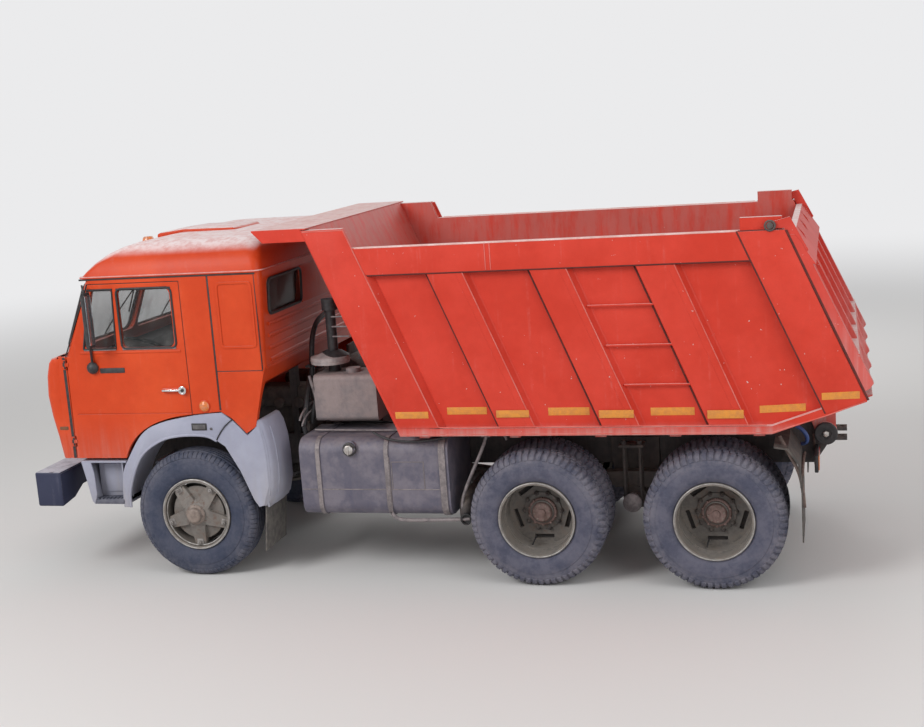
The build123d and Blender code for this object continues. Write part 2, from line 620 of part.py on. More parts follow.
def headlamps():
    """A unit with one round lamp, seated in each bumper recess."""
    unit = block(NOSE_X - 90, NOSE_X - 4, 820.3, 999.7, 690.3, 829.7)
    unit -= block(NOSE_X - 30, NOSE_X, 830, 990, 700, 820)
    lens = turned([(0, 0), (0, 58), (12, 53), (19, 35), (22, 0)])
    unit += Pos(NOSE_X - 30, 910, 760) * Rot(0, 0, -90) * lens
    return both_sides(unit)


def rear_mudguards():
    """Guards behind the last wheels, each on a bracket from the rail."""
    x = REAR_AXLES_X[1] - TYRE_RADIUS
    guard = prism([(x + 85, 1095), (x - 15, 1080), (x - 93, 960), (x - 105, 790), (x - 93, 790),
                   (x - 81, 958),
                   (x - 7, 1068), (x + 85, 1083)], 640, 1230)
    guard += block(x - 108, x - 98, 655, 1215, 380, 830)
    plate_y = FRAME_HALF_WIDTH + PIVOT_PLATE
    bracket = rod((x - 35, plate_y, 960), (x - 35, plate_y + 30, 960), 16)
    bracket += rod((x - 35, plate_y + 24, 960), (x - 35, 660, 1042), 16)
    return both_sides(guard + bracket)


def tow_coupling():
    """Rear tow hitch on the closing beam: plate, horn and jaw with its pin hole."""
    x = FRAME_REAR_X
    z = (FRAME_BOTTOM + FRAME_TOP) / 2
    hitch = block(x - 16, x, -110, 110, z - 90, z + 90)
    hitch += rod((x - 16, 0, z), (x - 120, 0, z), 42)
    jaw = block(x - 230, x - 100, -48, 48, z - 52, z + 52) - block(x - 240, x - 140, -60, 60, z - 24, z + 24)
    jaw -= rod((x - 190, 0, z - 60), (x - 190, 0, z + 60), TOW_PIN_RADIUS)
    return hitch + jaw


# Cab
def plan_wire(z, front, rear, half_width, corner):
    """Closed plan at one level: bowed front, round corners, straight sides and back."""
    bow = 50
    back_corner = corner * 0.75
    nose = front - bow
    diagonal = 1 - cos(radians(45))
    left = half_width
    front_arc = ThreePointArc((nose, left - corner, z), (front, 0, z), (nose, corner - left, z))
    right_front = ThreePointArc((nose, corner - left, z),
                                (nose - corner * diagonal, corner * diagonal - left, z),
                                (nose - corner, -left, z))
    right_side = Line((nose - corner, -left, z), (rear + back_corner, -left, z))
    right_rear = ThreePointArc((rear + back_corner, -left, z),
                               (rear + back_corner * diagonal, back_corner * diagonal - left, z),
                               (rear, back_corner - left, z))
    back = Line((rear, back_corner - left, z), (rear, left - back_corner, z))
    left_rear = ThreePointArc((rear, left - back_corner, z),
                              (rear + back_corner * diagonal, left - back_corner * diagonal, z),
                              (rear + back_corner, left, z))
    left_side = Line((rear + back_corner, left, z), (nose - corner, left, z))
    left_front = ThreePointArc((nose - corner, left, z),
                               (nose - corner * diagonal, left - corner * diagonal, z),
                               (nose, left - corner, z))
    return make_face([front_arc, right_front, right_side, right_rear, back, left_rear, left_side, left_front])


# Each section of the cab form: level, front, rear, half width, corner radius
NOSE_SECTIONS = ((CAB_SILL_Z, 1126, CAB_REAR_X, CAB_HALF_WIDTH, NOSE_CORNER),
                 (1403, 1187, CAB_REAR_X, CAB_HALF_WIDTH, NOSE_CORNER),
                 (BELT_Z, 1142, CAB_REAR_X, CAB_HALF_WIDTH, NOSE_CORNER))
WINDOW_SECTIONS = ((BELT_Z, 1055, CAB_REAR_X, CAB_HALF_WIDTH, 70),
                   (GUTTER_Z, 795, CAB_REAR_X - 30, CAB_HALF_WIDTH, 70))
ROOF_SECTIONS = ((GUTTER_Z, 795, CAB_REAR_X - 30, CAB_HALF_WIDTH, 70),
                 (2597, 660, CAB_REAR_X - 20, CAB_HALF_WIDTH - 30, 90),
                 (2706, 470, CAB_REAR_X + 30, CAB_HALF_WIDTH - 150, 110),
                 (ROOF_Z, 290, CAB_REAR_X + 130, CAB_HALF_WIDTH - 300, 120))


def stack(sections, inset, lift_first=0, drop_last=0):
    """Loft through cab sections, each drawn in by the inset."""
    faces = []
    last = len(sections) - 1
    for number, (z, front, rear, half_width, corner) in enumerate(sections):
        level = z + (lift_first if number == 0 else 0) - (drop_last if number == last else 0)
        faces.append(plan_wire(level, front - inset, rear + inset, half_width - inset, corner))
    return loft(faces, ruled=True)


def cab_form(inset):
    """The cab's whole outer form, or the same form drawn in by a wall."""
    lift = -60 if inset else 0
    lower = stack(NOSE_SECTIONS, inset, lift_first=lift, drop_last=inset)
    middle = stack(WINDOW_SECTIONS, inset, lift_first=-inset)
    top = stack(ROOF_SECTIONS, inset, drop_last=inset)
    return lower + middle + top


def hinge_axis(side, level, half_height, radius):
    """Upright cylinder on a door's hinge line."""
    y = side * CAB_HALF_WIDTH
    return rod((DOOR_HINGE_X, y, level - half_height), (DOOR_HINGE_X, y, level + half_height), radius)


def door_outline(gap):
    """Side outline of the door opening, drawn in by a gap for the door itself."""
    low = CAB_SILL_Z - 20
    return [(DOOR_HINGE_X - gap, low), (990 - gap, BELT_Z), (722 - gap, DOOR_TOP_Z - gap),
            (DOOR_REAR_X + gap, DOOR_TOP_Z - gap), (DOOR_REAR_X + gap, low)]


ARCH_EDGE = [(547, CAB_SILL_Z), (401, 1213), (225, 1306), (DOOR_REAR_X, 1366), (-328, 1386)]
SKIRT_EDGE = [(-420, 1330), (-535, 1207), (-619, 1261), (CAB_REAR_X + 6, BUNK_Z + 24)]


def side_window(points, radius):
    """Opening through both side walls with rounded corners."""
    opening = prism(points, CAB_HALF_WIDTH - 120, CAB_HALF_WIDTH + 120)
    return fillet(opening.edges().filter_by(Axis.Y), radius)


def main_window():
    """Big side window in the door."""
    return side_window([(470, 1915), (470, 2393), (5, 2393), (5, 1915)], 55)


def quarter_window():
    """Front quarter window in the door, in front of its post."""
    return side_window([(814, 1920), (690, 2393), (510, 2393), (523, 1915)], 35)


def windscreen_opening(margin):
    """Opening for the windscreen, seen from the front, in two halves beside its post."""
    half = CAB_HALF_WIDTH - 135 - margin
    post = SCREEN_POST / 2 + margin
    opening = bar([(post, BELT_Z + 45 + margin), (half, BELT_Z + 45 + margin), (half, GUTTER_Z - 50 - margin),
                   (post, GUTTER_Z - 50 - margin)], 500, 1300)
    return both_sides(fillet(opening.edges().filter_by(Axis.X), 60))


def rear_opening(margin):
    """Opening for the rear window, seen from behind."""
    opening = bar([(-1040 + margin, 2133 + margin), (1040 - margin, 2133 + margin),
                   (1040 - margin, 2414 - margin),
                   (-1040 + margin, 2414 - margin)], CAB_REAR_X - 200, CAB_REAR_X + 200)
    return fillet(opening.edges().filter_by(Axis.X), 50)


def cab_walls():
    """Outer walls as thick as the real double panels, before they are split into pieces."""
    walls = cab_form(0) - cab_form(CAB_WALL)
    below = SKIRT_EDGE + [(-900, BUNK_Z + 24), (-900, 900), (547, 900)]
    return walls - arched_prism(ARCH_EDGE, below, -CAB_HALF_WIDTH - 50, CAB_HALF_WIDTH + 50)


def nose_region():
    """Space taken by the removable nose panel."""
    return block(DOOR_HINGE_X + 30, 1300, -CAB_HALF_WIDTH + 70, CAB_HALF_WIDTH - 70, CAB_SILL_Z - 60,
                 BELT_Z - CAB_WALL - 20)


def rear_wall_x(level):
    """Outer face of the cab's rear wall at a level above the belt or below it."""
    return CAB_REAR_X - 30 * max(0, level - BELT_Z) / (GUTTER_Z - BELT_Z)


def side_pressing():
    """Raised rounded frame on the left panel behind the door."""
    y = CAB_HALF_WIDTH
    frame = block(CORNER_SEAM_X + 24, SIDE_SEAM_X - 62, y - 4, y + PRESSING, 1891, 2416)
    frame = fillet(frame.edges().filter_by(Axis.Y), 40)
    middle = block(CORNER_SEAM_X + 42, SIDE_SEAM_X - 80, y - 10, y + 2 * PRESSING, 1909, 2398)
    return frame - fillet(middle.edges().filter_by(Axis.Y), 26)


def side_seams():
    """Gaps between the left outer panels behind the door, as deep grooves."""
    y = CAB_HALF_WIDTH
    seams = block(SIDE_SEAM_X - 8, SIDE_SEAM_X + 8, y - 16, y + 20, 1395, GUTTER_Z - 14)
    seams += block(CORNER_SEAM_X - 3, CORNER_SEAM_X + 3, y - 8, y + 20, BUNK_Z - 6, GUTTER_Z - 14)
    return seams + block(CORNER_SEAM_X - 3, SIDE_SEAM_X, y - 8, y + 20, BUNK_Z - 6, BUNK_Z)


def rear_ribs():
    """Horizontal pressings across the cab's rear wall, under its window."""
    half = CAB_HALF_WIDTH - 120
    ribs = None
    for level in REAR_RIB_LEVELS:
        x = rear_wall_x(level)
        rib = prism([(x + 4, level - 22), (x - 10, level - 10), (x - 10, level + 10), (x + 4, level + 22)],
                    -half, half)
        ribs = rib if ribs is None else ribs + rib
    return ribs


def cab_shell():
    """Side panels, pillars, rear wall, scuttle and the stepped floor."""
    shell = cab_walls() - nose_region()
    shell -= both_sides(side_seams())
    shell += both_sides(side_pressing())
    shell += rear_ribs()
    shell -= block(-1000, 1300, -1300, 1300, GUTTER_Z, ROOF_Z + 60)
    for side in (1, -1):
        opening = prism(door_outline(0), side * (CAB_HALF_WIDTH - 100), side * (CAB_HALF_WIDTH + 60))
        shell -= opening
    shell -= windscreen_opening(0)
    shell -= rear_opening(0)
    bulkhead = block(BULKHEAD_X, BULKHEAD_X + FLOOR_PLATE, -CAB_HALF_WIDTH, CAB_HALF_WIDTH, FOOTWELL_Z,
                     BELT_Z - CAB_WALL)
    shell += bulkhead & cab_form(CAB_WALL - 1)
    for level in DOOR_HINGE_LEVELS:
        for side in (1, -1):
            shell -= hinge_axis(side, level, 45, HINGE_NOTCH)
            shell += hinge_axis(side, level, 40, HINGE_PIN)
            for end in (-40, 16):
                shell += block(DOOR_HINGE_X - 6, DOOR_HINGE_X + HINGE_NOTCH + 6, side * (CAB_HALF_WIDTH - 6),
                               side * (CAB_HALF_WIDTH + 6), level + end, level + end + 24)
    inner = CAB_HALF_WIDTH - CAB_WALL - 20
    floor = [(BULKHEAD_X, FOOTWELL_Z), (590, FOOTWELL_Z), (590, TUNNEL_Z), (-340, TUNNEL_Z), (-340, BUNK_Z),
             (CAB_REAR_X + 4, BUNK_Z),
             (CAB_REAR_X + 4, BUNK_Z + FLOOR_PLATE), (-340 + FLOOR_PLATE, BUNK_Z + FLOOR_PLATE),
             (-340 + FLOOR_PLATE, TUNNEL_Z + FLOOR_PLATE), (590 + FLOOR_PLATE, TUNNEL_Z + FLOOR_PLATE),
             (590 + FLOOR_PLATE, FOOTWELL_Z + FLOOR_PLATE), (BULKHEAD_X, FOOTWELL_Z + FLOOR_PLATE)]
    return shell + prism(floor, -inner, inner)


def nose_panel():
    """Front panel between the bumper and the windscreen, with the slots of its grille."""
    panel = cab_walls() & nose_region()
    for level in GRILLE_LEVELS:
        slot = block(900, 1300, 20, GRILLE_HALF_WIDTH, level, level + GRILLE_SLOT)
        panel -= both_sides(slot)
    return panel


def cab_roof():
    """High roof from the gutter up, with the gutter strip and the hatch rim."""
    roof = cab_walls() & block(-1000, 1300, -1300, 1300, GUTTER_Z, ROOF_Z + 60)
    strip = stack(((GUTTER_Z, 795, CAB_REAR_X - 30, CAB_HALF_WIDTH, 70),
                   (GUTTER_Z + 14, 795, CAB_REAR_X - 30, CAB_HALF_WIDTH, 70)), -10)
    strip -= stack(((GUTTER_Z - 2, 795, CAB_REAR_X - 30, CAB_HALF_WIDTH, 70),
                    (GUTTER_Z + 20, 795, CAB_REAR_X - 30, CAB_HALF_WIDTH, 70)), CAB_WALL / 2)
    hatch = prism([(-300, ROOF_Z - 4), (215, ROOF_Z - 4), (175, ROOF_Z + HATCH_HEIGHT),
                   (-275, ROOF_Z + HATCH_HEIGHT)],
                  -270, 270)
    return roof + strip + hatch


def pane(opening):
    """Glass of one opening, in the middle of the wall."""
    return (cab_form(12) - cab_form(12 + GLASS)) & opening


def cab_glass():
    """Windscreen and rear window."""
    return pane(windscreen_opening(0)) + pane(rear_opening(0))


def door():
    """Left door with its window openings."""
    leaf = cab_walls() & prism(door_outline(GAP), CAB_HALF_WIDTH - 100, CAB_HALF_WIDTH + 60)
    leaf -= main_window()
    leaf -= quarter_window()
    handle = block(-55, 145, CAB_HALF_WIDTH - 2, CAB_HALF_WIDTH + 26, 1552, 1584)
    leaf += fillet(handle.edges().filter_by(Axis.X), 8)
    y = CAB_HALF_WIDTH
    leaf -= block(DOOR_REAR_X, 940, y - 4, y + 5, DOOR_CREASE_Z - 3, DOOR_CREASE_Z + 3)
    ledge = bar([(y - 2, BELT_Z + 14), (y + PRESSING, BELT_Z + 22), (y + PRESSING, BELT_Z + 32),
                 (y - 2, BELT_Z + 40)], -40, 850)
    leaf += ledge
    for level in DOOR_HINGE_LEVELS:
        leaf -= hinge_axis(1, level, 45, HINGE_NOTCH)
        leaf += block(DOOR_HINGE_X - HINGE_NOTCH - 8, DOOR_HINGE_X, CAB_HALF_WIDTH - 5, CAB_HALF_WIDTH + 5,
                      level - 14, level + 14)
        leaf += hinge_axis(1, level, 14, HINGE_PIN + 6)
        leaf -= hinge_axis(1, level, 20, HINGE_PIN + PIN_GAP)
    return leaf


def door_glass():
    """Left door's two panes."""
    return pane(main_window()) + pane(quarter_window())


def mirror_unit():
    """Left mirror head with its bent arm, fixed to the door."""
    y = CAB_HALF_WIDTH + 130
    head = block(654, 704, y - 35, y + 75, 1941, 2391)
    head = fillet(head.edges().filter_by(Axis.X), 30)
    arm = pipe([(680, y, 2380), (680, y, 2420), (740, CAB_HALF_WIDTH + 40, 2440),
                (740, CAB_HALF_WIDTH + 40, 1780)], 12, 14)
    lower = rod((740, CAB_HALF_WIDTH, 1800), (740, CAB_HALF_WIDTH + 40, 1800), 14)
    lower += rod((740, CAB_HALF_WIDTH + 40, 2100), (690, y - 20, 2100), 10)
    foot = block(722, 782, CAB_HALF_WIDTH, CAB_HALF_WIDTH + 16, 1700, 1820)
    return head + arm + lower + foot


def wheel_arch(growth):
    """Upper half of the arch round a front wheel, as an ellipse seen from the side."""
    ellipse = Plane.XZ * Ellipse(ARCH_HALF_LENGTH + growth, ARCH_HEIGHT + growth)
    return Pos(ARCH_X, 0, ARCH_Z) * extrude(ellipse, amount=2 * CAB_HALF_WIDTH, dir=(0, 1, 0))


def arch_level(x):
    """Middle of the arch sheet at a place along the truck."""
    half = FENDER_SHEET / 2
    return ARCH_Z + (ARCH_HEIGHT + half) * sqrt(1 - ((x - ARCH_X) / (ARCH_HALF_LENGTH + half)) ** 2)


def front_fenders():
    """Grey wheel-arch fenders with their tunnels and the step wells in front."""
    skin_y = CAB_HALF_WIDTH - 28
    inner_y = FRAME_HALF_WIDTH + 300
    outer_arch = [(x - FENDER_GAP, z - FENDER_GAP) for x, z in ARCH_EDGE]
    outer = [(-420, 1318), (-535, 1195), (-619, 1249), (-789, 1193), (-813, 763), (-678, 591), (557, 591)]
    inner_arch = [(557, 591), (540, 757), (425, 1009), (243, 1143), (55, 1189), (-165, 1188), (-330, 1104),
                  (-445, 900), (-540, 660), (-579, 590)]
    fender = arched_prism(outer_arch, outer, skin_y, CAB_HALF_WIDTH)
    fender -= arched_prism(inner_arch, [(-579, 560), (557, 560)], skin_y - 1, CAB_HALF_WIDTH + 10)
    room = block(-900, 900, inner_y, skin_y, 591, 1300)
    fender += (wheel_arch(FENDER_SHEET) - wheel_arch(0)) & room
    rear_part = prism([(-560, 1170), (-789, 1193), (-813, 763), (-678, 591), (-560, 591)], inner_y,
                      CAB_HALF_WIDTH)
    hollow = prism([(-500, 1150), (-777, 1172), (-801, 768), (-684, 615), (-500, 615)], inner_y - 10, skin_y)
    rear_part -= hollow
    rear_part -= wheel_arch(0)
    fender += rear_part
    slant = slab([(FENDER_BEND_X, CAB_HALF_WIDTH + 1), (-830, CAB_HALF_WIDTH - 150),
                  (-830, CAB_HALF_WIDTH + 1)], 500, 1300)
    inside = slab([(FENDER_BEND_X - 8, skin_y), (-801, CAB_HALF_WIDTH - 146), (-801, CAB_HALF_WIDTH - 158),
                   (FENDER_BEND_X - 8, skin_y - 12)],
                  620, 1160)
    fender = (fender - slant) + (inside & block(-801, 0, inner_y, CAB_HALF_WIDTH, 640, 1150))
    fender += block(FLAP_X - FLAP_SHEET, FLAP_X, inner_y - 60, CAB_HALF_WIDTH - 60, FLAP_LOW_Z, 640)
    step = block(620, 971, 760, CAB_HALF_WIDTH, 615, 981)
    step -= block(620 + STEP_WALL, 971 - STEP_WALL, 760 + STEP_WALL, CAB_HALF_WIDTH + 5,
                  615 + STEP_FLOOR, 981 - STEP_WALL)
    front_leg = block(530, 640, skin_y, CAB_HALF_WIDTH, 591, 981)
    fender += step + front_leg
    for x in (-560, 500):
        fender += rod((x, FRAME_HALF_WIDTH, arch_level(x)), (x, inner_y + 20, arch_level(x)), 18)
    return both_sides(fender)


def seats():
    """Two plain seats on their pedestals."""
    seat = block(-160, 300, 420, 880, TUNNEL_Z + 180, TUNNEL_Z + 310)
    seat += prism([(-160, TUNNEL_Z + 300), (-40, TUNNEL_Z + 300), (-150, TUNNEL_Z + 940),
                   (-250, TUNNEL_Z + 940)], 420, 880)
    seat = fillet(seat.edges().filter_by(Axis.Y), 25)
    seat += block(-80, 240, 520, 780, TUNNEL_Z + FLOOR_PLATE, TUNNEL_Z + 180)
    return both_sides(seat)


def dashboard():
    """Dashboard across the cab under the windscreen."""
    half = CAB_HALF_WIDTH - 120
    return prism([(BULKHEAD_X, 1480), (760, 1560), (740, 1700), (800, BELT_Z - 60),
                  (BULKHEAD_X, BELT_Z - 50)], -half, half)


def steering_wheel():
    """Steering wheel on its column, on the left."""
    centre = Vector(560, 620, 1800)
    lean = Vector(-0.42, 0, 0.9).normalized()
    section = Plane.XZ * (Pos(WHEEL_RING_RADIUS, 0) * RegularPolygon(16, 8))
    wheel = Plane(origin=centre, z_dir=lean) * revolve(section, axis=Axis.Z)
    floor_z = FOOTWELL_Z + FLOOR_PLATE
    foot = centre - lean * ((centre.Z - floor_z - 30) / lean.Z)
    column = rod(tuple(foot), tuple(centre), 24)
    column += rod((foot.X, foot.Y, floor_z), (foot.X, foot.Y, floor_z + 60), 34)
    reach = Vector(0, WHEEL_RING_RADIUS, 0)
    bar_one = rod(tuple(centre - reach), tuple(centre + reach), 12)
    return wheel + column + bar_one


# Bed
def front_x(z):
    """Front face of the bed at a level."""
    return BED_FRONT_X + (z - BED_FLOOR_Z) * tan(radians(FRONT_SLANT))


def rear_x(z):
    """Rear edge of the bed's sides at a level."""
    return REAR_CORNER_X + (z - REAR_CORNER_Z) * tan(radians(REAR_SLANT))


def tail_z(x):
    """Underside of the floor behind the knee."""
    return BED_FLOOR_Z + (BED_KNEE_X - x) * (BED_LIP_Z - BED_FLOOR_Z) / (BED_KNEE_X - BED_LIP_X)


def bed_floor():
    """Floor that rises behind the knee, with its beams, cross bearers and pivot hangers."""
    floor_top = BED_FLOOR_Z + BED_FLOOR
    inner_y = BED_PANEL_Y - BED_PANEL
    floor = prism([(front_x(BED_FLOOR_Z) - BED_FRONT_WALL, BED_FLOOR_Z), (BED_KNEE_X, BED_FLOOR_Z),
                   (BED_LIP_X, BED_LIP_Z), (BED_LIP_X, BED_LIP_Z + BED_FLOOR), (BED_KNEE_X, floor_top),
                   (front_x(floor_top) - BED_FRONT_WALL, floor_top)], -inner_y, inner_y)
    beam_low = FRAME_TOP + SUBFRAME_HEIGHT + GAP
    beam_end = PIVOT_X - 70
    beam = prism([(SUBFRAME_FRONT_X, beam_low), (SUBFRAME_FRONT_X, BED_FLOOR_Z), (BED_KNEE_X, BED_FLOOR_Z),
                  (beam_end, tail_z(beam_end)), (beam_end, tail_z(beam_end) - 60), (PIVOT_X + 60, beam_low)],
                 BEAM_INNER_Y, BEAM_OUTER_Y)
    half_root = BOSS_RADIUS - 8
    hanger = prism([(PIVOT_X - half_root, PIVOT_Z), (PIVOT_X - half_root, tail_z(PIVOT_X - half_root)),
                    (PIVOT_X + 160, tail_z(PIVOT_X + 160)), (PIVOT_X + half_root, PIVOT_Z)],
                   BOSS_Y_INNER + 15, BOSS_Y_OUTER - 15)
    boss = rod((PIVOT_X, BOSS_Y_INNER, PIVOT_Z), (PIVOT_X, BOSS_Y_OUTER, PIVOT_Z), BOSS_RADIUS)
    hole = rod((PIVOT_X, BOSS_Y_INNER - 5, PIVOT_Z), (PIVOT_X, BOSS_Y_OUTER + 5, PIVOT_Z),
               PIVOT_RADIUS + PIN_GAP)
    saddle = block(HOIST_EYE_X - 100, HOIST_EYE_X + 100, HOIST_BARREL_RADIUS + 15, BEAM_INNER_Y,
                   BED_FLOOR_Z - 60, BED_FLOOR_Z)
    saddle += block(HOIST_EYE_X - 100, HOIST_EYE_X + 100, HOIST_BARREL_RADIUS + 15, HOIST_BARREL_RADIUS + 35,
                    HOIST_EYE_Z - 40, BED_FLOOR_Z)
    side = beam + saddle + ((hanger + boss) - hole)
    bearer = 80
    for x in (SUBFRAME_FRONT_X - bearer / 2, -2700, -3350, -3900, -4500):
        side += block(x - bearer / 2, x + bearer / 2, BEAM_OUTER_Y, BED_PANEL_Y - 60, BED_FLOOR_Z - 50,
                      BED_FLOOR_Z)
    return floor + both_sides(side)


def slanted_rib(x, width):
    """Pressed rib on the left wall, from rail to rail, steep in front and bent back behind."""
    low = BED_FLOOR_Z + 50
    high = BED_RAIL_Z - BED_RAIL_HEIGHT
    lean = radians(22.1)
    face = BED_HALF_WIDTH - RIB_SINK
    outline = Polyline((x, BED_PANEL_Y, low), (x - 14, face, low), (x - width + RIB_BEND, face, low),
                       (x - width, BED_PANEL_Y, low), close=True)
    return extrude(make_face(outline), amount=(high - low) / cos(lean), dir=(sin(lean), 0, cos(lean)))


def climbing_rungs():
    """Three thin rungs on the left wall, between the second rib and the third."""
    low = BED_FLOOR_Z + 50
    rungs = None
    for level in RUNG_LEVELS:
        drift = (level - low) * tan(radians(22.1))
        front = RIB_FRONT_X - RIB_PITCH - RIB_WIDTH + drift + 20
        rung = rod((front, BED_PANEL_Y + 30, level), (front - RIB_PITCH + RIB_WIDTH - 40, BED_PANEL_Y + 30,
                                                      level), RUNG_RADIUS)
        rungs = rung if rungs is None else rungs + rung
    return rungs


def bed_side():
    """Left wall: panel, posts, rails, pressed ribs and the gate's corner block."""
    front_bottom = front_x(BED_FLOOR_Z)
    step_x = front_x(BED_FRONT_TOP_Z) - POST_WIDTH + 30
    panel = prism([(front_bottom, BED_FLOOR_Z), (BED_KNEE_X, BED_FLOOR_Z),
                   (REAR_CORNER_X, tail_z(REAR_CORNER_X)),
                   (rear_x(BED_RAIL_Z), BED_RAIL_Z), (step_x - 60, BED_RAIL_Z), (step_x, BED_FRONT_TOP_Z),
                   (front_x(BED_FRONT_TOP_Z), BED_FRONT_TOP_Z)], BED_PANEL_Y - BED_PANEL, BED_PANEL_Y)
    rail_low = BED_RAIL_Z - BED_RAIL_HEIGHT
    top_rail = prism([(front_x(rail_low) - 40, rail_low), (rear_x(rail_low) + 60, rail_low),
                      (rear_x(BED_RAIL_Z) + 60, BED_RAIL_Z), (front_x(BED_RAIL_Z) - 40, BED_RAIL_Z)],
                     BED_PANEL_Y, BED_HALF_WIDTH)
    corner_z = tail_z(REAR_CORNER_X)
    bottom_rail = prism([(front_bottom, BED_FLOOR_Z - 8), (BED_KNEE_X, BED_FLOOR_Z - 8),
                         (REAR_CORNER_X, corner_z - 8),
                         (REAR_CORNER_X, corner_z + 50), (BED_KNEE_X, BED_FLOOR_Z + 50),
                         (front_x(BED_FLOOR_Z + 50), BED_FLOOR_Z + 50)], BED_PANEL_Y, BED_HALF_WIDTH)
    front_post = prism([(front_x(BED_FLOOR_Z), BED_FLOOR_Z), (front_x(BED_FRONT_TOP_Z), BED_FRONT_TOP_Z),
                        (step_x, BED_FRONT_TOP_Z), (step_x - 60, BED_RAIL_Z), (step_x - 60, rail_low),
                        (front_bottom - POST_WIDTH + RIB_BEND, BED_FLOOR_Z)],
                       BED_PANEL_Y, BED_HALF_WIDTH)
    front_post += slanted_rib(front_bottom - POST_WIDTH / 2, POST_WIDTH / 2)
    rear_post = prism([(REAR_CORNER_X, tail_z(REAR_CORNER_X)), (rear_x(BED_RAIL_Z), BED_RAIL_Z),
                       (rear_x(BED_RAIL_Z) + 320, BED_RAIL_Z), (rear_x(1320) + 320, 1320)], BED_PANEL_Y,
                      BED_HALF_WIDTH)
    wall = panel + top_rail + bottom_rail + front_post + rear_post
    for number in range(RIB_COUNT):
        wall += slanted_rib(RIB_FRONT_X - number * RIB_PITCH, RIB_WIDTH)
    corner = block(GATE_PIN_X - 79, GATE_PIN_X + 205, BED_PANEL_Y - BED_PANEL, CORNER_BLOCK_Y, BED_RAIL_Z,
                   GATE_PIN_Z + 59)
    pin = rod((GATE_PIN_X, CORNER_BLOCK_Y - 5, GATE_PIN_Z), (GATE_PIN_X, BED_HALF_WIDTH, GATE_PIN_Z),
              GATE_PIN_RADIUS)
    return wall + corner + pin


def bed_front():
    """Slanted front wall between the side walls, with two stiffeners and the cab visor on top."""
    low = BED_FLOOR_Z
    inner = BED_PANEL_Y - BED_PANEL
    wall = prism([(front_x(low), low), (front_x(VISOR_Z), VISOR_Z),
                  (front_x(VISOR_Z) - BED_FRONT_WALL, VISOR_Z),
                  (front_x(low) - BED_FRONT_WALL, low)], -inner, inner)
    for y in (-400, 400):
        wall += prism([(front_x(BED_FLOOR_Z + 60), BED_FLOOR_Z + 60), (front_x(2600), 2600),
                       (front_x(2600) + 10, 2560),
                       (front_x(BED_FLOOR_Z + 60) + 60, BED_FLOOR_Z + 60)], y - 60, y + 60)
    return wall


def bed_visor():
    """Cab visor: sheet with side flanges and three ribs under it."""
    rear = front_x(VISOR_Z) - BED_FRONT_WALL
    sheet = prism([(rear, VISOR_Z), (VISOR_TIP_X, VISOR_Z), (VISOR_TIP_X, VISOR_Z + VISOR_SHEET),
                   (rear, VISOR_Z + VISOR_SHEET)],
                  -BED_HALF_WIDTH, BED_HALF_WIDTH)
    flange_points = [(front_x(VISOR_Z), VISOR_Z), (VISOR_TIP_X, VISOR_Z), (VISOR_TIP_X - 83, VISOR_Z - 88),
                     (front_x(VISOR_Z - 88), VISOR_Z - 88)]
    for y in (-BED_HALF_WIDTH + 6, -500, 0, 500, BED_HALF_WIDTH - 6):
        sheet += prism(flange_points, y - 6, y + 6)
    return sheet


def tailgate():
    """Top-hung gate: panel, vertical ribs, side frames and the two arms to the pins."""
    slant = radians(REAR_SLANT)
    shift = GAP / cos(slant)
    depth = GATE_PANEL / cos(slant)
    rib_depth = (GATE_PANEL + GATE_RIB) / cos(slant)
    low_in, top_in = rear_x(GATE_BOTTOM_Z) - shift, rear_x(GATE_TOP_Z) - shift
    panel = prism([(low_in, GATE_BOTTOM_Z), (top_in, GATE_TOP_Z), (top_in - depth, GATE_TOP_Z),
                   (low_in - depth + 10, GATE_BOTTOM_Z + 24)], -BED_HALF_WIDTH + 2, BED_HALF_WIDTH - 2)
    gate = panel
    rib = [(low_in - depth + 10, GATE_BOTTOM_Z + 24), (top_in - depth, GATE_TOP_Z),
           (top_in - rib_depth, GATE_TOP_Z - 60),
           (low_in - rib_depth + GATE_FOOT_CUT, GATE_BOTTOM_Z + 60)]
    for number in range(5):
        y = (number - 2) * (BED_HALF_WIDTH - 2 - GATE_RIB_WIDTH / 2) / 2
        gate += prism(rib, y - GATE_RIB_WIDTH / 2, y + GATE_RIB_WIDTH / 2)
    half = BED_HALF_WIDTH - 2
    for edge, level in ((GATE_TOP_Z, GATE_TOP_Z - GATE_BEAM),
                        (GATE_BOTTOM_Z + 60, GATE_BOTTOM_Z + 60 + GATE_BEAM)):
        skin = rear_x(level) - shift - depth
        gate += prism([(rear_x(edge) - shift - depth, edge), (skin, level),
                       (rear_x(level) - shift - rib_depth + 2, level)],
                      -half, half)
    arm_low = BED_RAIL_Z + GAP
    arm_foot = GATE_TOP_Z - 200
    arm_outline = [(GATE_PIN_X, arm_low), (rear_x(arm_low) - shift, arm_low),
                   (rear_x(arm_foot) - shift, arm_foot),
                   (rear_x(arm_foot + 90) - rib_depth, arm_foot + 90), (GATE_PIN_X - 135, GATE_PIN_Z + 54),
                   (GATE_PIN_X, GATE_PIN_Z + GATE_PIN_Z - arm_low)]
    for side in (1, -1):
        arm_y = CORNER_BLOCK_Y + GAP
        arm = prism(arm_outline, side * arm_y, side * (arm_y + ARM_PLATE))
        arm += rod((GATE_PIN_X, side * arm_y, GATE_PIN_Z),
                   (GATE_PIN_X, side * (arm_y + ARM_PLATE), GATE_PIN_Z),
                   GATE_PIN_Z - arm_low)
        arm -= rod((GATE_PIN_X, side * (arm_y - 20), GATE_PIN_Z),
                   (GATE_PIN_X, side * (arm_y + 60), GATE_PIN_Z),
                   GATE_PIN_RADIUS + PIN_GAP)
        gate += arm
    return gate


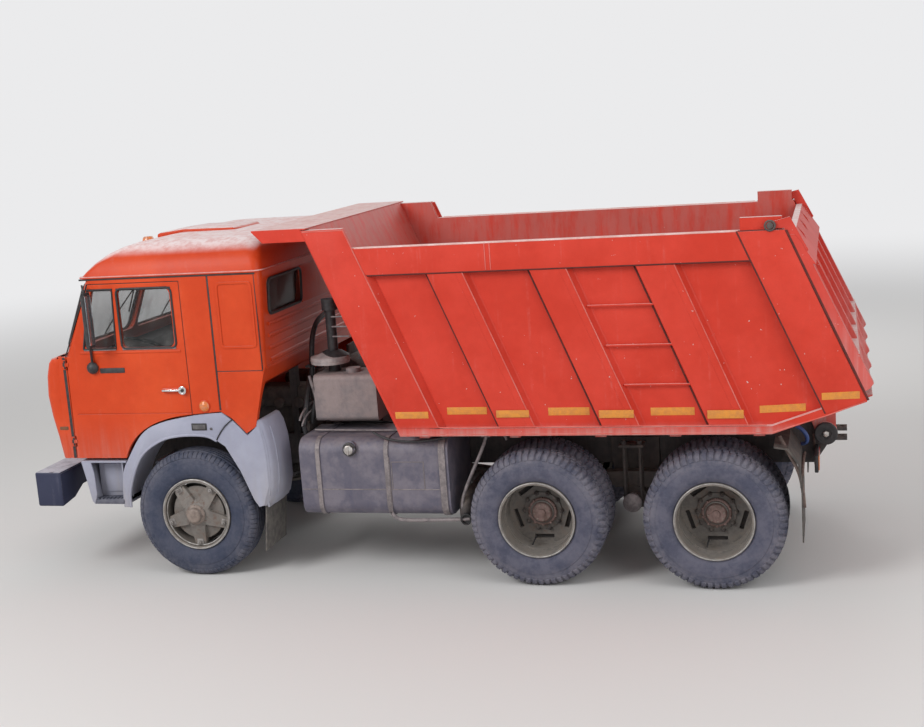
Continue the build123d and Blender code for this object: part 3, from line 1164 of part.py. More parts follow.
# Hoist, drawn lying along X from its foot, then tilted into place
def hoist_place(shape):
    """Turns a hoist piece from level to its rest tilt on the foot pin."""
    return Pos(HOIST_X, 0, HOIST_Z) * Rot(0, -HOIST_TILT, 0) * shape


def hoist_barrel():
    """Fixed cylinder of the hoist with its foot eye around the cross tube."""
    barrel = rod((60, 0, 0), (HOIST_BARREL_LENGTH, 0, 0), HOIST_BARREL_RADIUS)
    barrel += rod((0, -70, 0), (0, 70, 0), 70)
    barrel -= rod((0, -100, 0), (0, 100, 0), HOIST_FOOT_RADIUS + PIN_GAP)
    barrel -= rod((110, 0, 0), (HOIST_BARREL_LENGTH + 10, 0, 0), HOIST_STAGE_RADII[0] + PIN_GAP)
    return hoist_place(barrel)


def hoist_stage(number):
    """One telescopic stage, tubular but for the last, which ends in the ball under the bed."""
    radius = HOIST_STAGE_RADII[number]
    start = 120 + number * 12
    end = HOIST_BARREL_LENGTH + HOIST_STAGE_STEP * (number + 1)
    stage = rod((start, 0, 0), (end, 0, 0), radius)
    last = len(HOIST_STAGE_RADII) - 1
    if number < last:
        stage -= rod((start + 12, 0, 0), (end + 10, 0, 0), HOIST_STAGE_RADII[number + 1] + PIN_GAP)
    else:
        stage += rod((end, 0, 0), (HOIST_LENGTH, 0, 0), radius * 0.8)
        stage += Pos(HOIST_LENGTH, 0, 0) * Sphere(radius)
    return hoist_place(stage)


def wheel_nodes():
    """Tyres and rims of all six wheels, each pair of twin tyres as one piece."""
    nodes = {}
    twin = tyre(DUAL_Y - DUAL_SPACING / 2) + tyre(DUAL_Y + DUAL_SPACING / 2)
    places = (("front", 0, tyre(FRONT_WHEEL_Y), front_rim()),
              ("middle", REAR_AXLES_X[0], twin, rear_rim()),
              ("rear", REAR_AXLES_X[1], twin, rear_rim()))
    for name, x, rubber, rim in places:
        place = Pos(x, 0, AXLE_Z)
        nodes[f"tyre_{name}_left"] = place * rubber
        nodes[f"tyre_{name}_right"] = place * other_side(rubber)
        nodes[f"rim_{name}_left"] = place * rim
        nodes[f"rim_{name}_right"] = place * other_side(rim)
    return nodes


def all_nodes():
    """Every piece by its node name, drawn from the front axle."""
    nodes = {
        "frame_rail_left": frame_rail(),
        "frame_rail_right": other_side(frame_rail()),
        "cross_members": cross_members(),
        "cab_supports": cab_supports(),
        "tipper_subframe": tipper_subframe(),
        "front_axle_beam": front_axle_beam(),
        "leaf_springs": leaf_springs(),
        "bogie": bogie(),
        "drive_axle_middle": drive_axle(REAR_AXLES_X[0]),
        "drive_axle_rear": drive_axle(REAR_AXLES_X[1]),
        "driveline": driveline(),
        "engine": engine(),
        "fuel_tank": fuel_tank(),
        "hydraulic_tank": hydraulic_tank(),
        "air_intake": air_intake(),
        "exhaust": exhaust(),
        "air_reservoirs": air_reservoirs(),
        "bumper": bumper(),
        "headlamps": headlamps(),
        "rear_mudguards": rear_mudguards(),
        "tow_coupling": tow_coupling(),
        "cab_shell": cab_shell(),
        "nose_panel": nose_panel(),
        "cab_roof": cab_roof(),
        "cab_glass": cab_glass(),
        "front_fenders": front_fenders(),
        "seats": seats(),
        "dashboard": dashboard(),
        "steering_wheel": steering_wheel(),
        "door_left": door(),
        "door_right": other_side(door()),
        "door_glass_left": door_glass(),
        "door_glass_right": other_side(door_glass()),
        "mirror_left": mirror_unit(),
        "mirror_right": other_side(mirror_unit()),
        "knuckle_left": knuckle(),
        "knuckle_right": other_side(knuckle()),
        "tie_rod": tie_rod(),
        "bed_floor": bed_floor(),
        "bed_side_left": bed_side() + climbing_rungs(),
        "bed_side_right": other_side(bed_side()),
        "bed_front": bed_front(),
        "bed_visor": bed_visor(),
        "tailgate": tailgate(),
        "hoist_barrel": hoist_barrel(),
    }
    for number in range(len(HOIST_STAGE_RADII)):
        nodes[f"hoist_stage_{number + 1}"] = hoist_stage(number)
    nodes.update(wheel_nodes())
    return nodes


def front_axle_x():
    """Front axle's place, to 0.1 mm, with the origin midway between the nose and the gate's lowest ribs."""
    slant = radians(REAR_SLANT)
    tail_x = rear_x(GATE_BOTTOM_Z) - (GAP + GATE_PANEL + GATE_RIB) / cos(slant) + GATE_FOOT_CUT
    return round(-(NOSE_X + tail_x) / 2, 1)


def main():
    """Writes one file for each piece."""
    os.makedirs("parts", exist_ok=True)
    for name, shape in all_nodes().items():
        export_step(Pos(front_axle_x(), 0, 0) * shape, f"parts/{name}.step")


if __name__ == "__main__":
    main()
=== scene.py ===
"""Dresses the frame of a three-axle tipper truck: finishes, small pieces, light and camera.

Places are given in millimetres from the front axle on the road: X forward, Y to the truck's
left, Z up. The frame itself is in metres.
"""

import logging
from collections.abc import Iterator, Sequence
from contextlib import contextmanager
from dataclasses import dataclass
from enum import Enum
from math import cos, pi, radians, sin

import bmesh
import bpy
from mathutils import Matrix, Vector


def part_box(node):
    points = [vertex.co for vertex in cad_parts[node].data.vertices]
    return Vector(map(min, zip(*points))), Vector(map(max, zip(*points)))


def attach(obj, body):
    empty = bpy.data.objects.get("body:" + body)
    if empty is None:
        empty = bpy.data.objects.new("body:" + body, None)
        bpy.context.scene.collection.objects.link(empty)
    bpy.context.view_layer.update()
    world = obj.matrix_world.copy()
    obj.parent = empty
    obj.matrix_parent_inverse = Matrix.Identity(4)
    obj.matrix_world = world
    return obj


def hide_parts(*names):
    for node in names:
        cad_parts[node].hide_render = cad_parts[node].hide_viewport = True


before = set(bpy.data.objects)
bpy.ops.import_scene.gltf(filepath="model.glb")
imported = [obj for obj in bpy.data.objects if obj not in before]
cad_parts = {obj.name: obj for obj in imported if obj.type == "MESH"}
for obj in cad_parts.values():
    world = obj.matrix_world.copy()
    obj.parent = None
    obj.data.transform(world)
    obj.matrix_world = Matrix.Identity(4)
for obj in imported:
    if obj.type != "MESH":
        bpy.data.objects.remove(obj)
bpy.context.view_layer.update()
LOG = logging.getLogger("tipper")

MM = 0.001
AXLE_HEIGHT = 525.0
SMOOTH_ANGLE = 32.0
MERGE_DISTANCE = 0.00002
Rgb = tuple[float, float, float]
Point = tuple[float, float, float]
Flat = tuple[float, float]
Route = tuple[float, tuple[Point, ...]]
Mesh = bpy.types.Object


def middle_x(node: str) -> float:
    """Lengthwise middle of a node of the frame, in metres."""
    low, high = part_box(node)
    return (low[0] + high[0]) / 2


FRONT_AXLE = middle_x("tyre_front_left")


class Axle(Enum):
    """The truck's axles, by the word that node names give."""

    FRONT = "front"
    MIDDLE = "middle"
    REAR = "rear"

    @property
    def place(self) -> float:
        """Lengthwise place in the frame, in metres."""
        return middle_x(f"tyre_{self.value}_left")

    @property
    def behind(self) -> float:
        """Lengthwise place from the front axle, in millimetres."""
        return (self.place - FRONT_AXLE) / MM

    @property
    def twin(self) -> bool:
        """Whether its wheels carry twin tyres."""
        return self is not Axle.FRONT


def at(x: float, y: float, z: float) -> Vector:
    """A place in the frame, in metres, from millimetres at the front axle."""
    return Vector((x * MM + FRONT_AXLE, y * MM, z * MM))


class Side(Enum):
    """The truck's two sides, with the sign of Y on each."""

    LEFT = 1
    RIGHT = -1

    @property
    def word(self) -> str:
        """The side as node names give it."""
        return self.name.lower()


class Value:
    """A shader socket that takes part in Python arithmetic on single numbers."""

    def __init__(self, kit: "NodeKit", socket: bpy.types.NodeSocket) -> None:
        self.kit = kit
        self.socket = socket

    def _maths(self, operation: str, *terms: "Value | float") -> "Value":
        """Adds one Math node."""
        sockets = dict(enumerate(terms))
        return self.kit.add("ShaderNodeMath", {"operation": operation}, sockets)

    def __add__(self, other: "Value | float") -> "Value":
        """Sum."""
        return self._maths("ADD", self, other)

    __radd__ = __add__

    def __sub__(self, other: "Value | float") -> "Value":
        """Difference."""
        return self._maths("SUBTRACT", self, other)

    def __rsub__(self, other: "Value | float") -> "Value":
        """Difference from a number."""
        return self._maths("SUBTRACT", other, self)

    def __mul__(self, other: "Value | float") -> "Value":
        """Product."""
        return self._maths("MULTIPLY", self, other)

    __rmul__ = __mul__

    def __abs__(self) -> "Value":
        """Size without sign."""
        return self._maths("ABSOLUTE", self)

    def __gt__(self, other: "Value | float") -> "Value":
        """One where this is greater."""
        return self._maths("GREATER_THAN", self, other)

    def __lt__(self, other: "Value | float") -> "Value":
        """One where this is less."""
        return self._maths("LESS_THAN", self, other)

    def least(self, other: "Value | float") -> "Value":
        """The lesser of two values."""
        return self._maths("MINIMUM", self, other)

    def wave(self) -> "Value":
        """Sine."""
        return self._maths("SINE", self)

    def root(self) -> "Value":
        """Square root."""
        return self._maths("SQRT", self)

    def ease(self, low: float, high: float, start: float = 0.0, end: float = 1.0) -> "Value":
        """Eases from start at low to end at high, and holds outside them.

        Args:
            low: value at which the easing starts.
            high: value at which it ends.
            start: result at and before low.
            end: result at and past high.

        Returns:
            The eased value.
        """
        settings = {"interpolation_type": "SMOOTHSTEP"}
        sockets = {"Value": self, "From Min": low, "From Max": high, "To Min": start, "To Max": end}
        return self.kit.add("ShaderNodeMapRange", settings, sockets)


Input = "Value | float | Sequence[float]"


class NodeKit:
    """Adds nodes to one material, with shorthand for the ones that most finishes share."""

    def __init__(self, tree: bpy.types.NodeTree) -> None:
        """Starts from an empty node tree.

        Args:
            tree: the node tree of a material or world.
        """
        self.tree = tree
        tree.nodes.clear()
        self._place: Value | None = None
        self._facing: Value | None = None

    def add(
        self,
        kind: str,
        settings: dict[str, object] | None = None,
        sockets: dict[str | int, object] | None = None,
        output: str | int = 0,
    ) -> Value:
        """Adds a node.

        Args:
            kind: the node's type.
            settings: properties set first. "stops" holds a ramp's (place, colour) pairs.
            sockets: values or links of the inputs, by name or number.
            output: name or number of the output that is returned.

        Returns:
            The chosen output.
        """
        node = self.tree.nodes.new(kind)
        for name, value in (settings or {}).items():
            if name != "stops":
                setattr(node, name, value)
                continue
            ramp = node.color_ramp
            while len(ramp.elements) < len(value):
                ramp.elements.new(0.5)
            for element, (place, colour) in zip(ramp.elements, value):
                element.position = place
                element.color = (*colour, 1.0)
        for name, value in (sockets or {}).items():
            socket = node.inputs[name]
            if isinstance(value, Value):
                self.tree.links.new(value.socket, socket)
            elif socket.type == "RGBA" and len(value) == 3:
                socket.default_value = (*value, 1.0)
            else:
                socket.default_value = value
        return Value(self, node.outputs[output])

    @property
    def place(self) -> Value:
        """Object coordinates, in metres.

        Returns:
            The coordinates.
        """
        if self._place is None:
            self._place = self.add("ShaderNodeTexCoord", output="Object")
        return self._place

    @property
    def facing(self) -> Value:
        """How far the surface faces up, from -1 to 1, on the piece itself.

        Returns:
            The measure.
        """
        if self._facing is None:
            normal = self.add("ShaderNodeTexCoord", output="Normal")
            self._facing = self.axis(normal, "Z")
        return self._facing

    def axis(self, vector: Value, letter: str) -> Value:
        """One part of a vector, by its letter."""
        return self.add("ShaderNodeSeparateXYZ", sockets={"Vector": vector}, output=letter)

    def join(self, x: Input, y: Input, z: Input) -> Value:
        """A vector from its three parts."""
        return self.add("ShaderNodeCombineXYZ", sockets={"X": x, "Y": y, "Z": z})

    def stretched(self, scale: Point) -> Value:
        """Object coordinates scaled along each axis."""
        sockets = {"Vector": self.place, "Scale": scale}
        return self.add("ShaderNodeMapping", sockets=sockets)

    def noise(
        self, scale: float, detail: float = 3.0, rough: float = 0.6, vector: Value | None = None
    ) -> Value:
        """Cloudy noise about one half."""
        sockets = {"Vector": vector or self.place, "Scale": scale, "Detail": detail, "Roughness": rough}
        return self.add("ShaderNodeTexNoise", sockets=sockets)

    def mix(self, factor: Input, first: Input, second: Input) -> Value:
        """Blends two colours."""
        settings = {"data_type": "RGBA", "clamp_factor": True}
        return self.add("ShaderNodeMix", settings, {0: factor, 6: first, 7: second}, 2)

    def shade(self, colour: Input, amount: Value) -> Value:
        """Multiplies a colour by a value."""
        return self.add("ShaderNodeVectorMath", {"operation": "SCALE"}, {"Vector": colour, "Scale": amount})

    def bump(self, height: Value, distance: float, strength: float = 1.0, edge: float = 0.0) -> Value:
        """Bump from a height.

        Args:
            height: height value.
            distance: metres for a height of one.
            strength: share of the bump.
            edge: radius in metres that sharp edges are rounded by, or none.

        Returns:
            The bumped normal.
        """
        sockets: dict[str | int, object] = {"Height": height, "Distance": distance, "Strength": strength}
        if edge:
            sockets["Normal"] = self.add("ShaderNodeBevel", {"samples": 4}, {"Radius": edge})
        return self.add("ShaderNodeBump", sockets=sockets)

    def surface(self, **sockets: object) -> Value:
        """Adds the main shader, with underscores for the spaces in its socket names."""
        named = {name.replace("_", " "): value for name, value in sockets.items()}
        return self.add("ShaderNodeBsdfPrincipled", sockets=named)

    def close(self, shader: Value, kind: str = "ShaderNodeOutputMaterial") -> None:
        """Links a shader to the material's or world's output."""
        node = self.tree.nodes.new(kind)
        self.tree.links.new(shader.socket, node.inputs["Surface"])


def new_material(name: str) -> tuple[bpy.types.Material, NodeKit]:
    """Makes an empty node material.

    Args:
        name: the material's name.

    Returns:
        The material and its node kit.
    """
    material = bpy.data.materials.new(name)
    material.use_nodes = True
    return material, NodeKit(material.node_tree)


LINING_Y, LINING_Z = 1188.0, 1218.0
LINING_DUST = (0.40, 0.27, 0.25)
CHIP_GREY = (0.55, 0.47, 0.45)


@dataclass(frozen=True)
class Enamel:
    """Old sprayed enamel: faded patches, dust that settles low, a pale tint on ledges that is dust and
    painted highlight, small chips.
    """

    name: str
    colour: Rgb
    faded: Rgb
    dust: Rgb
    dust_levels: Flat
    dust_share: float = 0.5
    # share and colour of the pale tint on up-facing faces, which is dust and a painted highlight
    ledge_share: float = 0.4
    chips: float = 0.0
    gloss: float = 0.42
    bleach: Rgb = (0.82, 0.70, 0.68)
    inside: float = 0.0

    def material(self) -> bpy.types.Material:
        """Makes the material.

        Returns:
            The material.
        """
        material, kit = new_material(self.name)
        height = kit.axis(kit.place, "Z")
        cloud = kit.noise(1.6, 4.0, 0.62)
        blotch = kit.noise(14.0, 4.0, 0.7)
        grain = kit.noise(140.0, 2.0, 0.6)
        runs = kit.noise(1.0, 3.0, 0.6, kit.stretched((22.0, 22.0, 1.1)))
        colour = kit.mix(cloud.ease(0.36, 0.66, 0.0, 0.75), self.colour, self.faded)
        colour = kit.shade(colour, 0.86 + blotch * 0.16 + grain * 0.12)
        low = height.ease(self.dust_levels[1] * MM, self.dust_levels[0] * MM)
        veil = low * (0.35 + runs.ease(0.35, 0.7) * 0.65) * self.dust_share
        # Up-facing faces take a pale tint that is settled dust and a painted highlight of the bright sky.
        ledge = kit.facing.ease(0.66, 0.97) * blotch.ease(0.3, 0.62, 0.6, 1.0) * self.ledge_share
        grime = runs.ease(0.56, 0.8) * blotch.ease(0.4, 0.7) * 0.16
        dust = (veil + grime).least(0.92)
        colour = kit.mix(dust, colour, self.dust)
        if self.inside:
            streaks = kit.noise(1.0, 4.0, 0.65, kit.stretched((14.0, 14.0, 2.4)))
            middle = (abs(kit.axis(kit.place, "Y")) < LINING_Y * MM) * (height > LINING_Z * MM)
            colour = kit.mix(middle * streaks.ease(0.3, 0.6, 0.25, 1.0) * self.inside, colour, LINING_DUST)
        # Mixes in the pale ledge tint, dust and painted highlight; its mask also roughens the surface.
        colour = kit.mix(ledge.least(0.95), colour, self.bleach)
        dust = (dust + ledge).least(1.0)
        rough = self.gloss + dust * 0.4 + blotch * 0.14
        if self.chips:
            spots = kit.noise(38.0, 2.0, 0.55)
            chip = (spots > 1.0 - self.chips) * (cloud > 0.45)
            colour = kit.mix(chip * 0.8, colour, CHIP_GREY)
        normal = kit.bump(blotch * 0.6 + grain * 0.4, 0.0006, 0.6, 0.006)
        shader = kit.surface(Base_Color=colour, Roughness=rough, Normal=normal, IOR=1.32)
        kit.close(shader)
        return material


@dataclass(frozen=True)
class RoadGrime:
    """Metal under the truck: dark paint or casting, oily low down, with dust on what faces up."""

    name: str
    colour: Rgb
    second: Rgb
    dust: Rgb
    dust_share: float = 0.55
    metal: float = 0.1
    gloss: float = 0.6

    def material(self) -> bpy.types.Material:
        """Makes the material.

        Returns:
            The material.
        """
        material, kit = new_material(self.name)
        cloud = kit.noise(4.5, 4.0, 0.66)
        blotch = kit.noise(22.0, 3.0, 0.7)
        grain = kit.noise(190.0, 2.0, 0.6)
        runs = kit.noise(1.0, 3.0, 0.65, kit.stretched((30.0, 30.0, 2.0)))
        colour = kit.mix(cloud.ease(0.4, 0.62), self.colour, self.second)
        colour = kit.shade(colour, 0.7 + blotch * 0.36 + grain * 0.24)
        ledge = kit.facing.ease(-0.2, 0.9) * 0.75 + 0.25
        dust = ledge * (blotch * 0.55 + runs * 0.75).ease(0.42, 0.82) * self.dust_share
        colour = kit.mix(dust, colour, self.dust)
        rough = self.gloss + dust * 0.35 + grain * 0.08
        normal = kit.bump(blotch * 0.5 + grain * 0.5, 0.0012, 0.7, 0.004)
        shader = kit.surface(Base_Color=colour, Roughness=rough, Normal=normal, Metallic=self.metal)
        kit.close(shader)
        return material


@dataclass(frozen=True)
class WheelGrime:
    """A finish that turns with its wheel, so its dirt follows the distance from the axle, and whose
    down-facing faces can take painted shade.
    """

    name: str
    axle_x: float
    colour: Rgb
    second: Rgb
    dust: Rgb
    ring: Flat
    dust_share: float = 0.5
    rust: Rgb | None = None
    gloss: float = 0.62
    bump: float = 0.001
    # brightness of down-facing faces, as painted shade; one for none
    shadow: float = 1.0

    def material(self) -> bpy.types.Material:
        """Makes the material.

        Returns:
            The material.
        """
        material, kit = new_material(self.name)
        along = kit.axis(kit.place, "X") - self.axle_x
        up = kit.axis(kit.place, "Z") - AXLE_HEIGHT * MM
        radius = (along * along + up * up).root()
        cloud = kit.noise(6.0, 4.0, 0.66)
        blotch = kit.noise(26.0, 3.0, 0.7)
        grain = kit.noise(170.0, 2.0, 0.65)
        colour = kit.mix(cloud.ease(0.38, 0.64), self.colour, self.second)
        colour = kit.shade(colour, 0.60 + blotch * 0.28 + grain * 0.18)
        band = radius.ease(self.ring[0] * MM, self.ring[1] * MM)
        # Painted shade: down-facing faces, such as the upper half of a dish, are darkened to the shadow
        # share.
        painted_light = kit.facing.ease(-0.35, 0.55)
        colour = kit.shade(colour, painted_light * (1.0 - self.shadow) + self.shadow)
        dust = (band * 0.75 + 0.25) * (blotch * 0.6 + cloud * 0.6).ease(0.38, 0.78) * self.dust_share
        colour = kit.mix(dust, colour, self.dust)
        if self.rust:
            spots = (cloud * 0.4 + blotch * 0.6).ease(0.52, 0.62) * radius.ease(0.26, 0.1, 0.25, 1.0)
            colour = kit.mix(spots * 0.8, colour, self.rust)
        rough = self.gloss + dust * 0.3
        normal = kit.bump(blotch * 0.5 + grain * 0.5, self.bump, 0.7, 0.003)
        shader = kit.surface(Base_Color=colour, Roughness=rough, Normal=normal)
        kit.close(shader)
        return material


@dataclass(frozen=True)
class Plain:
    """A small piece's finish: one colour broken by fine noise."""

    name: str
    colour: Rgb
    second: Rgb
    gloss: float = 0.5
    metal: float = 0.0
    scale: float = 60.0
    depth: float = 0.0004
    coat: float = 0.0

    def material(self) -> bpy.types.Material:
        """Makes the material.

        Returns:
            The material.
        """
        material, kit = new_material(self.name)
        blotch = kit.noise(self.scale, 4.0, 0.65)
        grain = kit.noise(self.scale * 6.0, 2.0, 0.6)
        colour = kit.mix(blotch.ease(0.35, 0.68), self.colour, self.second)
        colour = kit.shade(colour, 0.88 + grain * 0.24)
        rough = self.gloss * 0.85 + blotch * self.gloss * 0.3
        normal = kit.bump(blotch * 0.5 + grain * 0.5, self.depth, 0.7, 0.002)
        shader = kit.surface(
            Base_Color=colour, Roughness=rough, Normal=normal, Metallic=self.metal, Coat_Weight=self.coat
        )
        kit.close(shader)
        return material


@dataclass(frozen=True)
class Woven:
    """Seat cloth: a plain weave with worn, darker patches."""

    name: str
    colour: Rgb
    second: Rgb

    def material(self) -> bpy.types.Material:
        """Makes the material.

        Returns:
            The material.
        """
        material, kit = new_material(self.name)
        across = (kit.axis(kit.place, "Y") * 2100.0).wave()
        along = ((kit.axis(kit.place, "X") + kit.axis(kit.place, "Z")) * 2100.0).wave()
        weave = across * along
        worn = kit.noise(7.0, 4.0, 0.6)
        colour = kit.mix(worn.ease(0.4, 0.66), self.colour, self.second)
        colour = kit.shade(colour, 0.9 + weave * 0.12)
        normal = kit.bump(weave, 0.0006, 0.5)
        shader = kit.surface(Base_Color=colour, Roughness=0.88 + worn * 0.1, Normal=normal)
        kit.close(shader)
        return material


@dataclass(frozen=True)
class Pane:
    """Window glass with a light tint and a film of dust towards its foot."""

    name: str
    tint: Rgb
    clear: float
    film: Rgb

    def material(self) -> bpy.types.Material:
        """Makes the material.

        Returns:
            The material.
        """
        material, kit = new_material(self.name)
        height = kit.axis(kit.place, "Z")
        smear = kit.noise(5.0, 4.0, 0.65, kit.stretched((1.0, 1.0, 0.35)))
        film = height.ease(2.3, 1.95, 0.25, 1.0) * smear.ease(0.38, 0.75)
        edge = kit.add("ShaderNodeLayerWeight", sockets={"Blend": 0.35}, output="Fresnel")
        alpha = (self.clear + film * 0.16 + edge * 0.35).least(1.0)
        colour = kit.mix(film * 0.75, self.tint, self.film)
        shader = kit.surface(Base_Color=colour, Roughness=0.05 + film * 0.3, Alpha=alpha, IOR=1.5)
        kit.close(shader)
        return material


@dataclass(frozen=True)
class Lens:
    """Ribbed lamp glass in one colour."""

    name: str
    colour: Rgb
    ribs: float = 520.0
    dirt: Rgb = (0.3, 0.27, 0.25)

    def material(self) -> bpy.types.Material:
        """Makes the material.

        Returns:
            The material.
        """
        material, kit = new_material(self.name)
        rib = (kit.axis(kit.place, "Y") * self.ribs).wave() * (kit.axis(kit.place, "Z") * self.ribs).wave()
        dirt = kit.noise(30.0, 4.0, 0.6)
        colour = kit.mix(dirt.ease(0.4, 0.75, 0.0, 0.5), self.colour, self.dirt)
        colour = kit.shade(colour, 0.9 + rib * 0.1)
        normal = kit.bump(rib, 0.001, 0.8)
        shader = kit.surface(Base_Color=colour, Roughness=0.12 + dirt * 0.2, Normal=normal, Coat_Weight=0.6)
        kit.close(shader)
        return material


Finish = Enamel | RoadGrime | WheelGrime | Plain | Woven | Pane | Lens

DUST = (0.42, 0.36, 0.33)
ORANGE = Enamel(
    "cab_orange", (0.56, 0.050, 0.009), (0.66, 0.076, 0.018), DUST, (900, 1400), 0.22, 0.3, 0.0, 0.36
)
RED = Enamel(
    "bed_red", (0.56, 0.038, 0.019), (0.65, 0.056, 0.034), (0.52, 0.33, 0.31), (1185, 1290), 0.75, 0.8, 0.24,
    inside=0.34,
)
GATE = Enamel(
    "gate_red", (0.55, 0.042, 0.026), (0.62, 0.068, 0.05), (0.62, 0.46, 0.45), (1450, 2300), 0.45, 0.95, 0.24
)
# The lavender tint on the wing's up-facing faces is a painted highlight of the sky.
GREY = Enamel(
    "wing_grey", (0.32, 0.33, 0.42), (0.40, 0.41, 0.50), (0.36, 0.33, 0.31), (450, 1300), 0.5, 0.4, 0.0, 0.55,
    bleach=(0.54, 0.55, 0.62),
)
CHASSIS = RoadGrime("chassis_black", (0.030, 0.028, 0.032), (0.052, 0.047, 0.050), (0.24, 0.20, 0.17))
TANK = RoadGrime(
    "tank_grey", (0.10, 0.095, 0.135), (0.165, 0.15, 0.185), (0.25, 0.215, 0.21), 0.45, 0.15, 0.5
)
OIL_TANK = RoadGrime(
    "oil_tank_beige", (0.27, 0.215, 0.21), (0.20, 0.17, 0.175), (0.38, 0.32, 0.30), 0.5, 0.1, 0.6
)
CAST = RoadGrime("cast_iron", (0.055, 0.048, 0.050), (0.09, 0.075, 0.07), (0.26, 0.21, 0.17), 0.6, 0.2, 0.65)
BRIGHT = Plain("bright_steel", (0.60, 0.58, 0.56), (0.38, 0.34, 0.31), 0.3, 0.9, 25.0)
CHROME = Plain("chrome", (0.75, 0.75, 0.76), (0.55, 0.54, 0.53), 0.16, 1.0, 18.0, 0.0001)
TRIM = Plain("black_trim", (0.018, 0.018, 0.020), (0.040, 0.038, 0.040), 0.55, 0.0, 30.0)
SEAL = Plain("window_seal", (0.014, 0.014, 0.016), (0.035, 0.033, 0.034), 0.6, 0.0, 24.0)
CLOTH = Woven("seat_cloth", (0.11, 0.095, 0.085), (0.07, 0.062, 0.058))
GLASS = Pane("cab_glass", (0.10, 0.11, 0.11), 0.10, (0.36, 0.34, 0.32))
AMBER = Lens("amber_lens", (0.80, 0.20, 0.02))
BROWN_LENS = Plain("brown_lens", (0.13, 0.05, 0.018), (0.20, 0.075, 0.03), 0.3, 0.0, 20.0)
RUBY = Lens("red_lens", (0.55, 0.02, 0.015))
CLEAR = Lens("clear_lens", (0.62, 0.63, 0.66))
STRIP = Plain("yellow_reflector", (0.70, 0.27, 0.035), (0.58, 0.22, 0.045), 0.38, 0.0, 26.0)
# The roof has no dust: its near-white tint on up-facing faces is a painted highlight, the bright sky's
# reflection.
ROOF = Enamel(
    "roof_orange", (0.54, 0.046, 0.010), (0.62, 0.066, 0.016), DUST, (0, 1), 0.0, 0.95, 0.0, 0.36,
    (0.86, 0.76, 0.76),
)
CHROME_OLD = Plain("window_channel", (0.36, 0.35, 0.36), (0.22, 0.21, 0.21), 0.35, 0.6, 20.0)
MIRROR_GLASS = Plain("mirror_glass", (0.42, 0.44, 0.47), (0.36, 0.38, 0.41), 0.12, 0.8, 6.0, 0.0)
LAMP_GREY = Plain("lamp_grey", (0.075, 0.07, 0.075), (0.13, 0.12, 0.12), 0.3, 0.0, 24.0)
TREAD = Plain("step_rubber", (0.075, 0.08, 0.11), (0.13, 0.13, 0.16), 0.7, 0.0, 16.0, 0.001)
OIL = Plain("oil_stain", (0.022, 0.020, 0.022), (0.06, 0.052, 0.05), 0.4, 0.0, 22.0)
RUSTY = Plain("rusty_steel", (0.21, 0.155, 0.135), (0.11, 0.075, 0.065), 0.75, 0.2, 24.0, 0.001)
STEEL_DUSTY = Plain("dusty_steel", (0.27, 0.235, 0.235), (0.15, 0.13, 0.135), 0.6, 0.2, 18.0, 0.001)
PALE_DUST = Plain("pale_dust", (0.42, 0.38, 0.37), (0.28, 0.25, 0.25), 0.85, 0.0, 12.0, 0.001)
# Pale lines of wear along the bed's edges and bends, with a painted highlight.
WORN_HIGHLIGHT = Plain("rubbed_red", (0.66, 0.17, 0.14), (0.60, 0.09, 0.065), 0.5, 0.0, 5.0, 0.0006)
RUBBED_HIGHLIGHT = Plain("rubbed_pale", (0.78, 0.58, 0.55), (0.66, 0.36, 0.32), 0.55, 0.0, 6.0, 0.0006)
# Painted shadow at the ribs' feet, under the top rail and by the rear post, and dark joint lines.
SHADE_RED = Plain("seam_dirt", (0.075, 0.012, 0.010), (0.13, 0.02, 0.015), 0.8, 0.0, 12.0, 0.0006)
FLAP = Plain("mud_flap_rubber", (0.085, 0.078, 0.074), (0.16, 0.145, 0.13), 0.8, 0.0, 20.0, 0.0015)
RING = Plain("wheel_ring", (0.40, 0.385, 0.37), (0.24, 0.22, 0.205), 0.42, 0.5, 14.0)
RIM_STEEL = Plain("clamp_steel", (0.30, 0.28, 0.265), (0.17, 0.15, 0.14), 0.5, 0.3, 22.0)
HUB_RUST = Plain("hub_rust", (0.25, 0.165, 0.15), (0.15, 0.095, 0.08), 0.6, 0.2, 18.0, 0.001)
HUB_DUST = Plain("hub_dust", (0.27, 0.215, 0.185), (0.17, 0.13, 0.11), 0.6, 0.1, 18.0, 0.001)
DRUM = Plain("brake_drum", (0.030, 0.027, 0.027), (0.06, 0.05, 0.046), 0.8, 0.1, 20.0, 0.001)
HOSE = Plain("blue_hose", (0.03, 0.07, 0.24), (0.06, 0.10, 0.26), 0.5, 0.0, 40.0)


class Finishes:
    """Makes each finish once and lends it by name."""

    def __init__(self) -> None:
        """Starts with nothing made."""
        self.made: dict[str, bpy.types.Material] = {}

    def get(self, finish: Finish) -> bpy.types.Material:
        """Lends a finish's material.

        Args:
            finish: one of the finishes above.

        Returns:
            The material, made at its first use.
        """
        if finish.name not in self.made:
            self.made[finish.name] = finish.material()
        return self.made[finish.name]


FINISHES = Finishes()


def tyre_finish(axle: Axle) -> WheelGrime:
    """Rubber of the wheels on one axle.

    Args:
        axle: the axle.

    Returns:
        The finish.
    """
    if axle.twin:
        dark, pale, share = (0.068, 0.073, 0.118), (0.105, 0.106, 0.155), 0.5
    else:
        dark, pale, share = (0.036, 0.047, 0.088), (0.056, 0.066, 0.108), 0.32
    return WheelGrime(
        f"tyre_{axle.value}",
        axle.place,
        dark,
        pale,
        dust=(0.26, 0.24, 0.26),
        ring=(380, 500),
        dust_share=share,
        gloss=0.8,
        bump=0.002,
    )


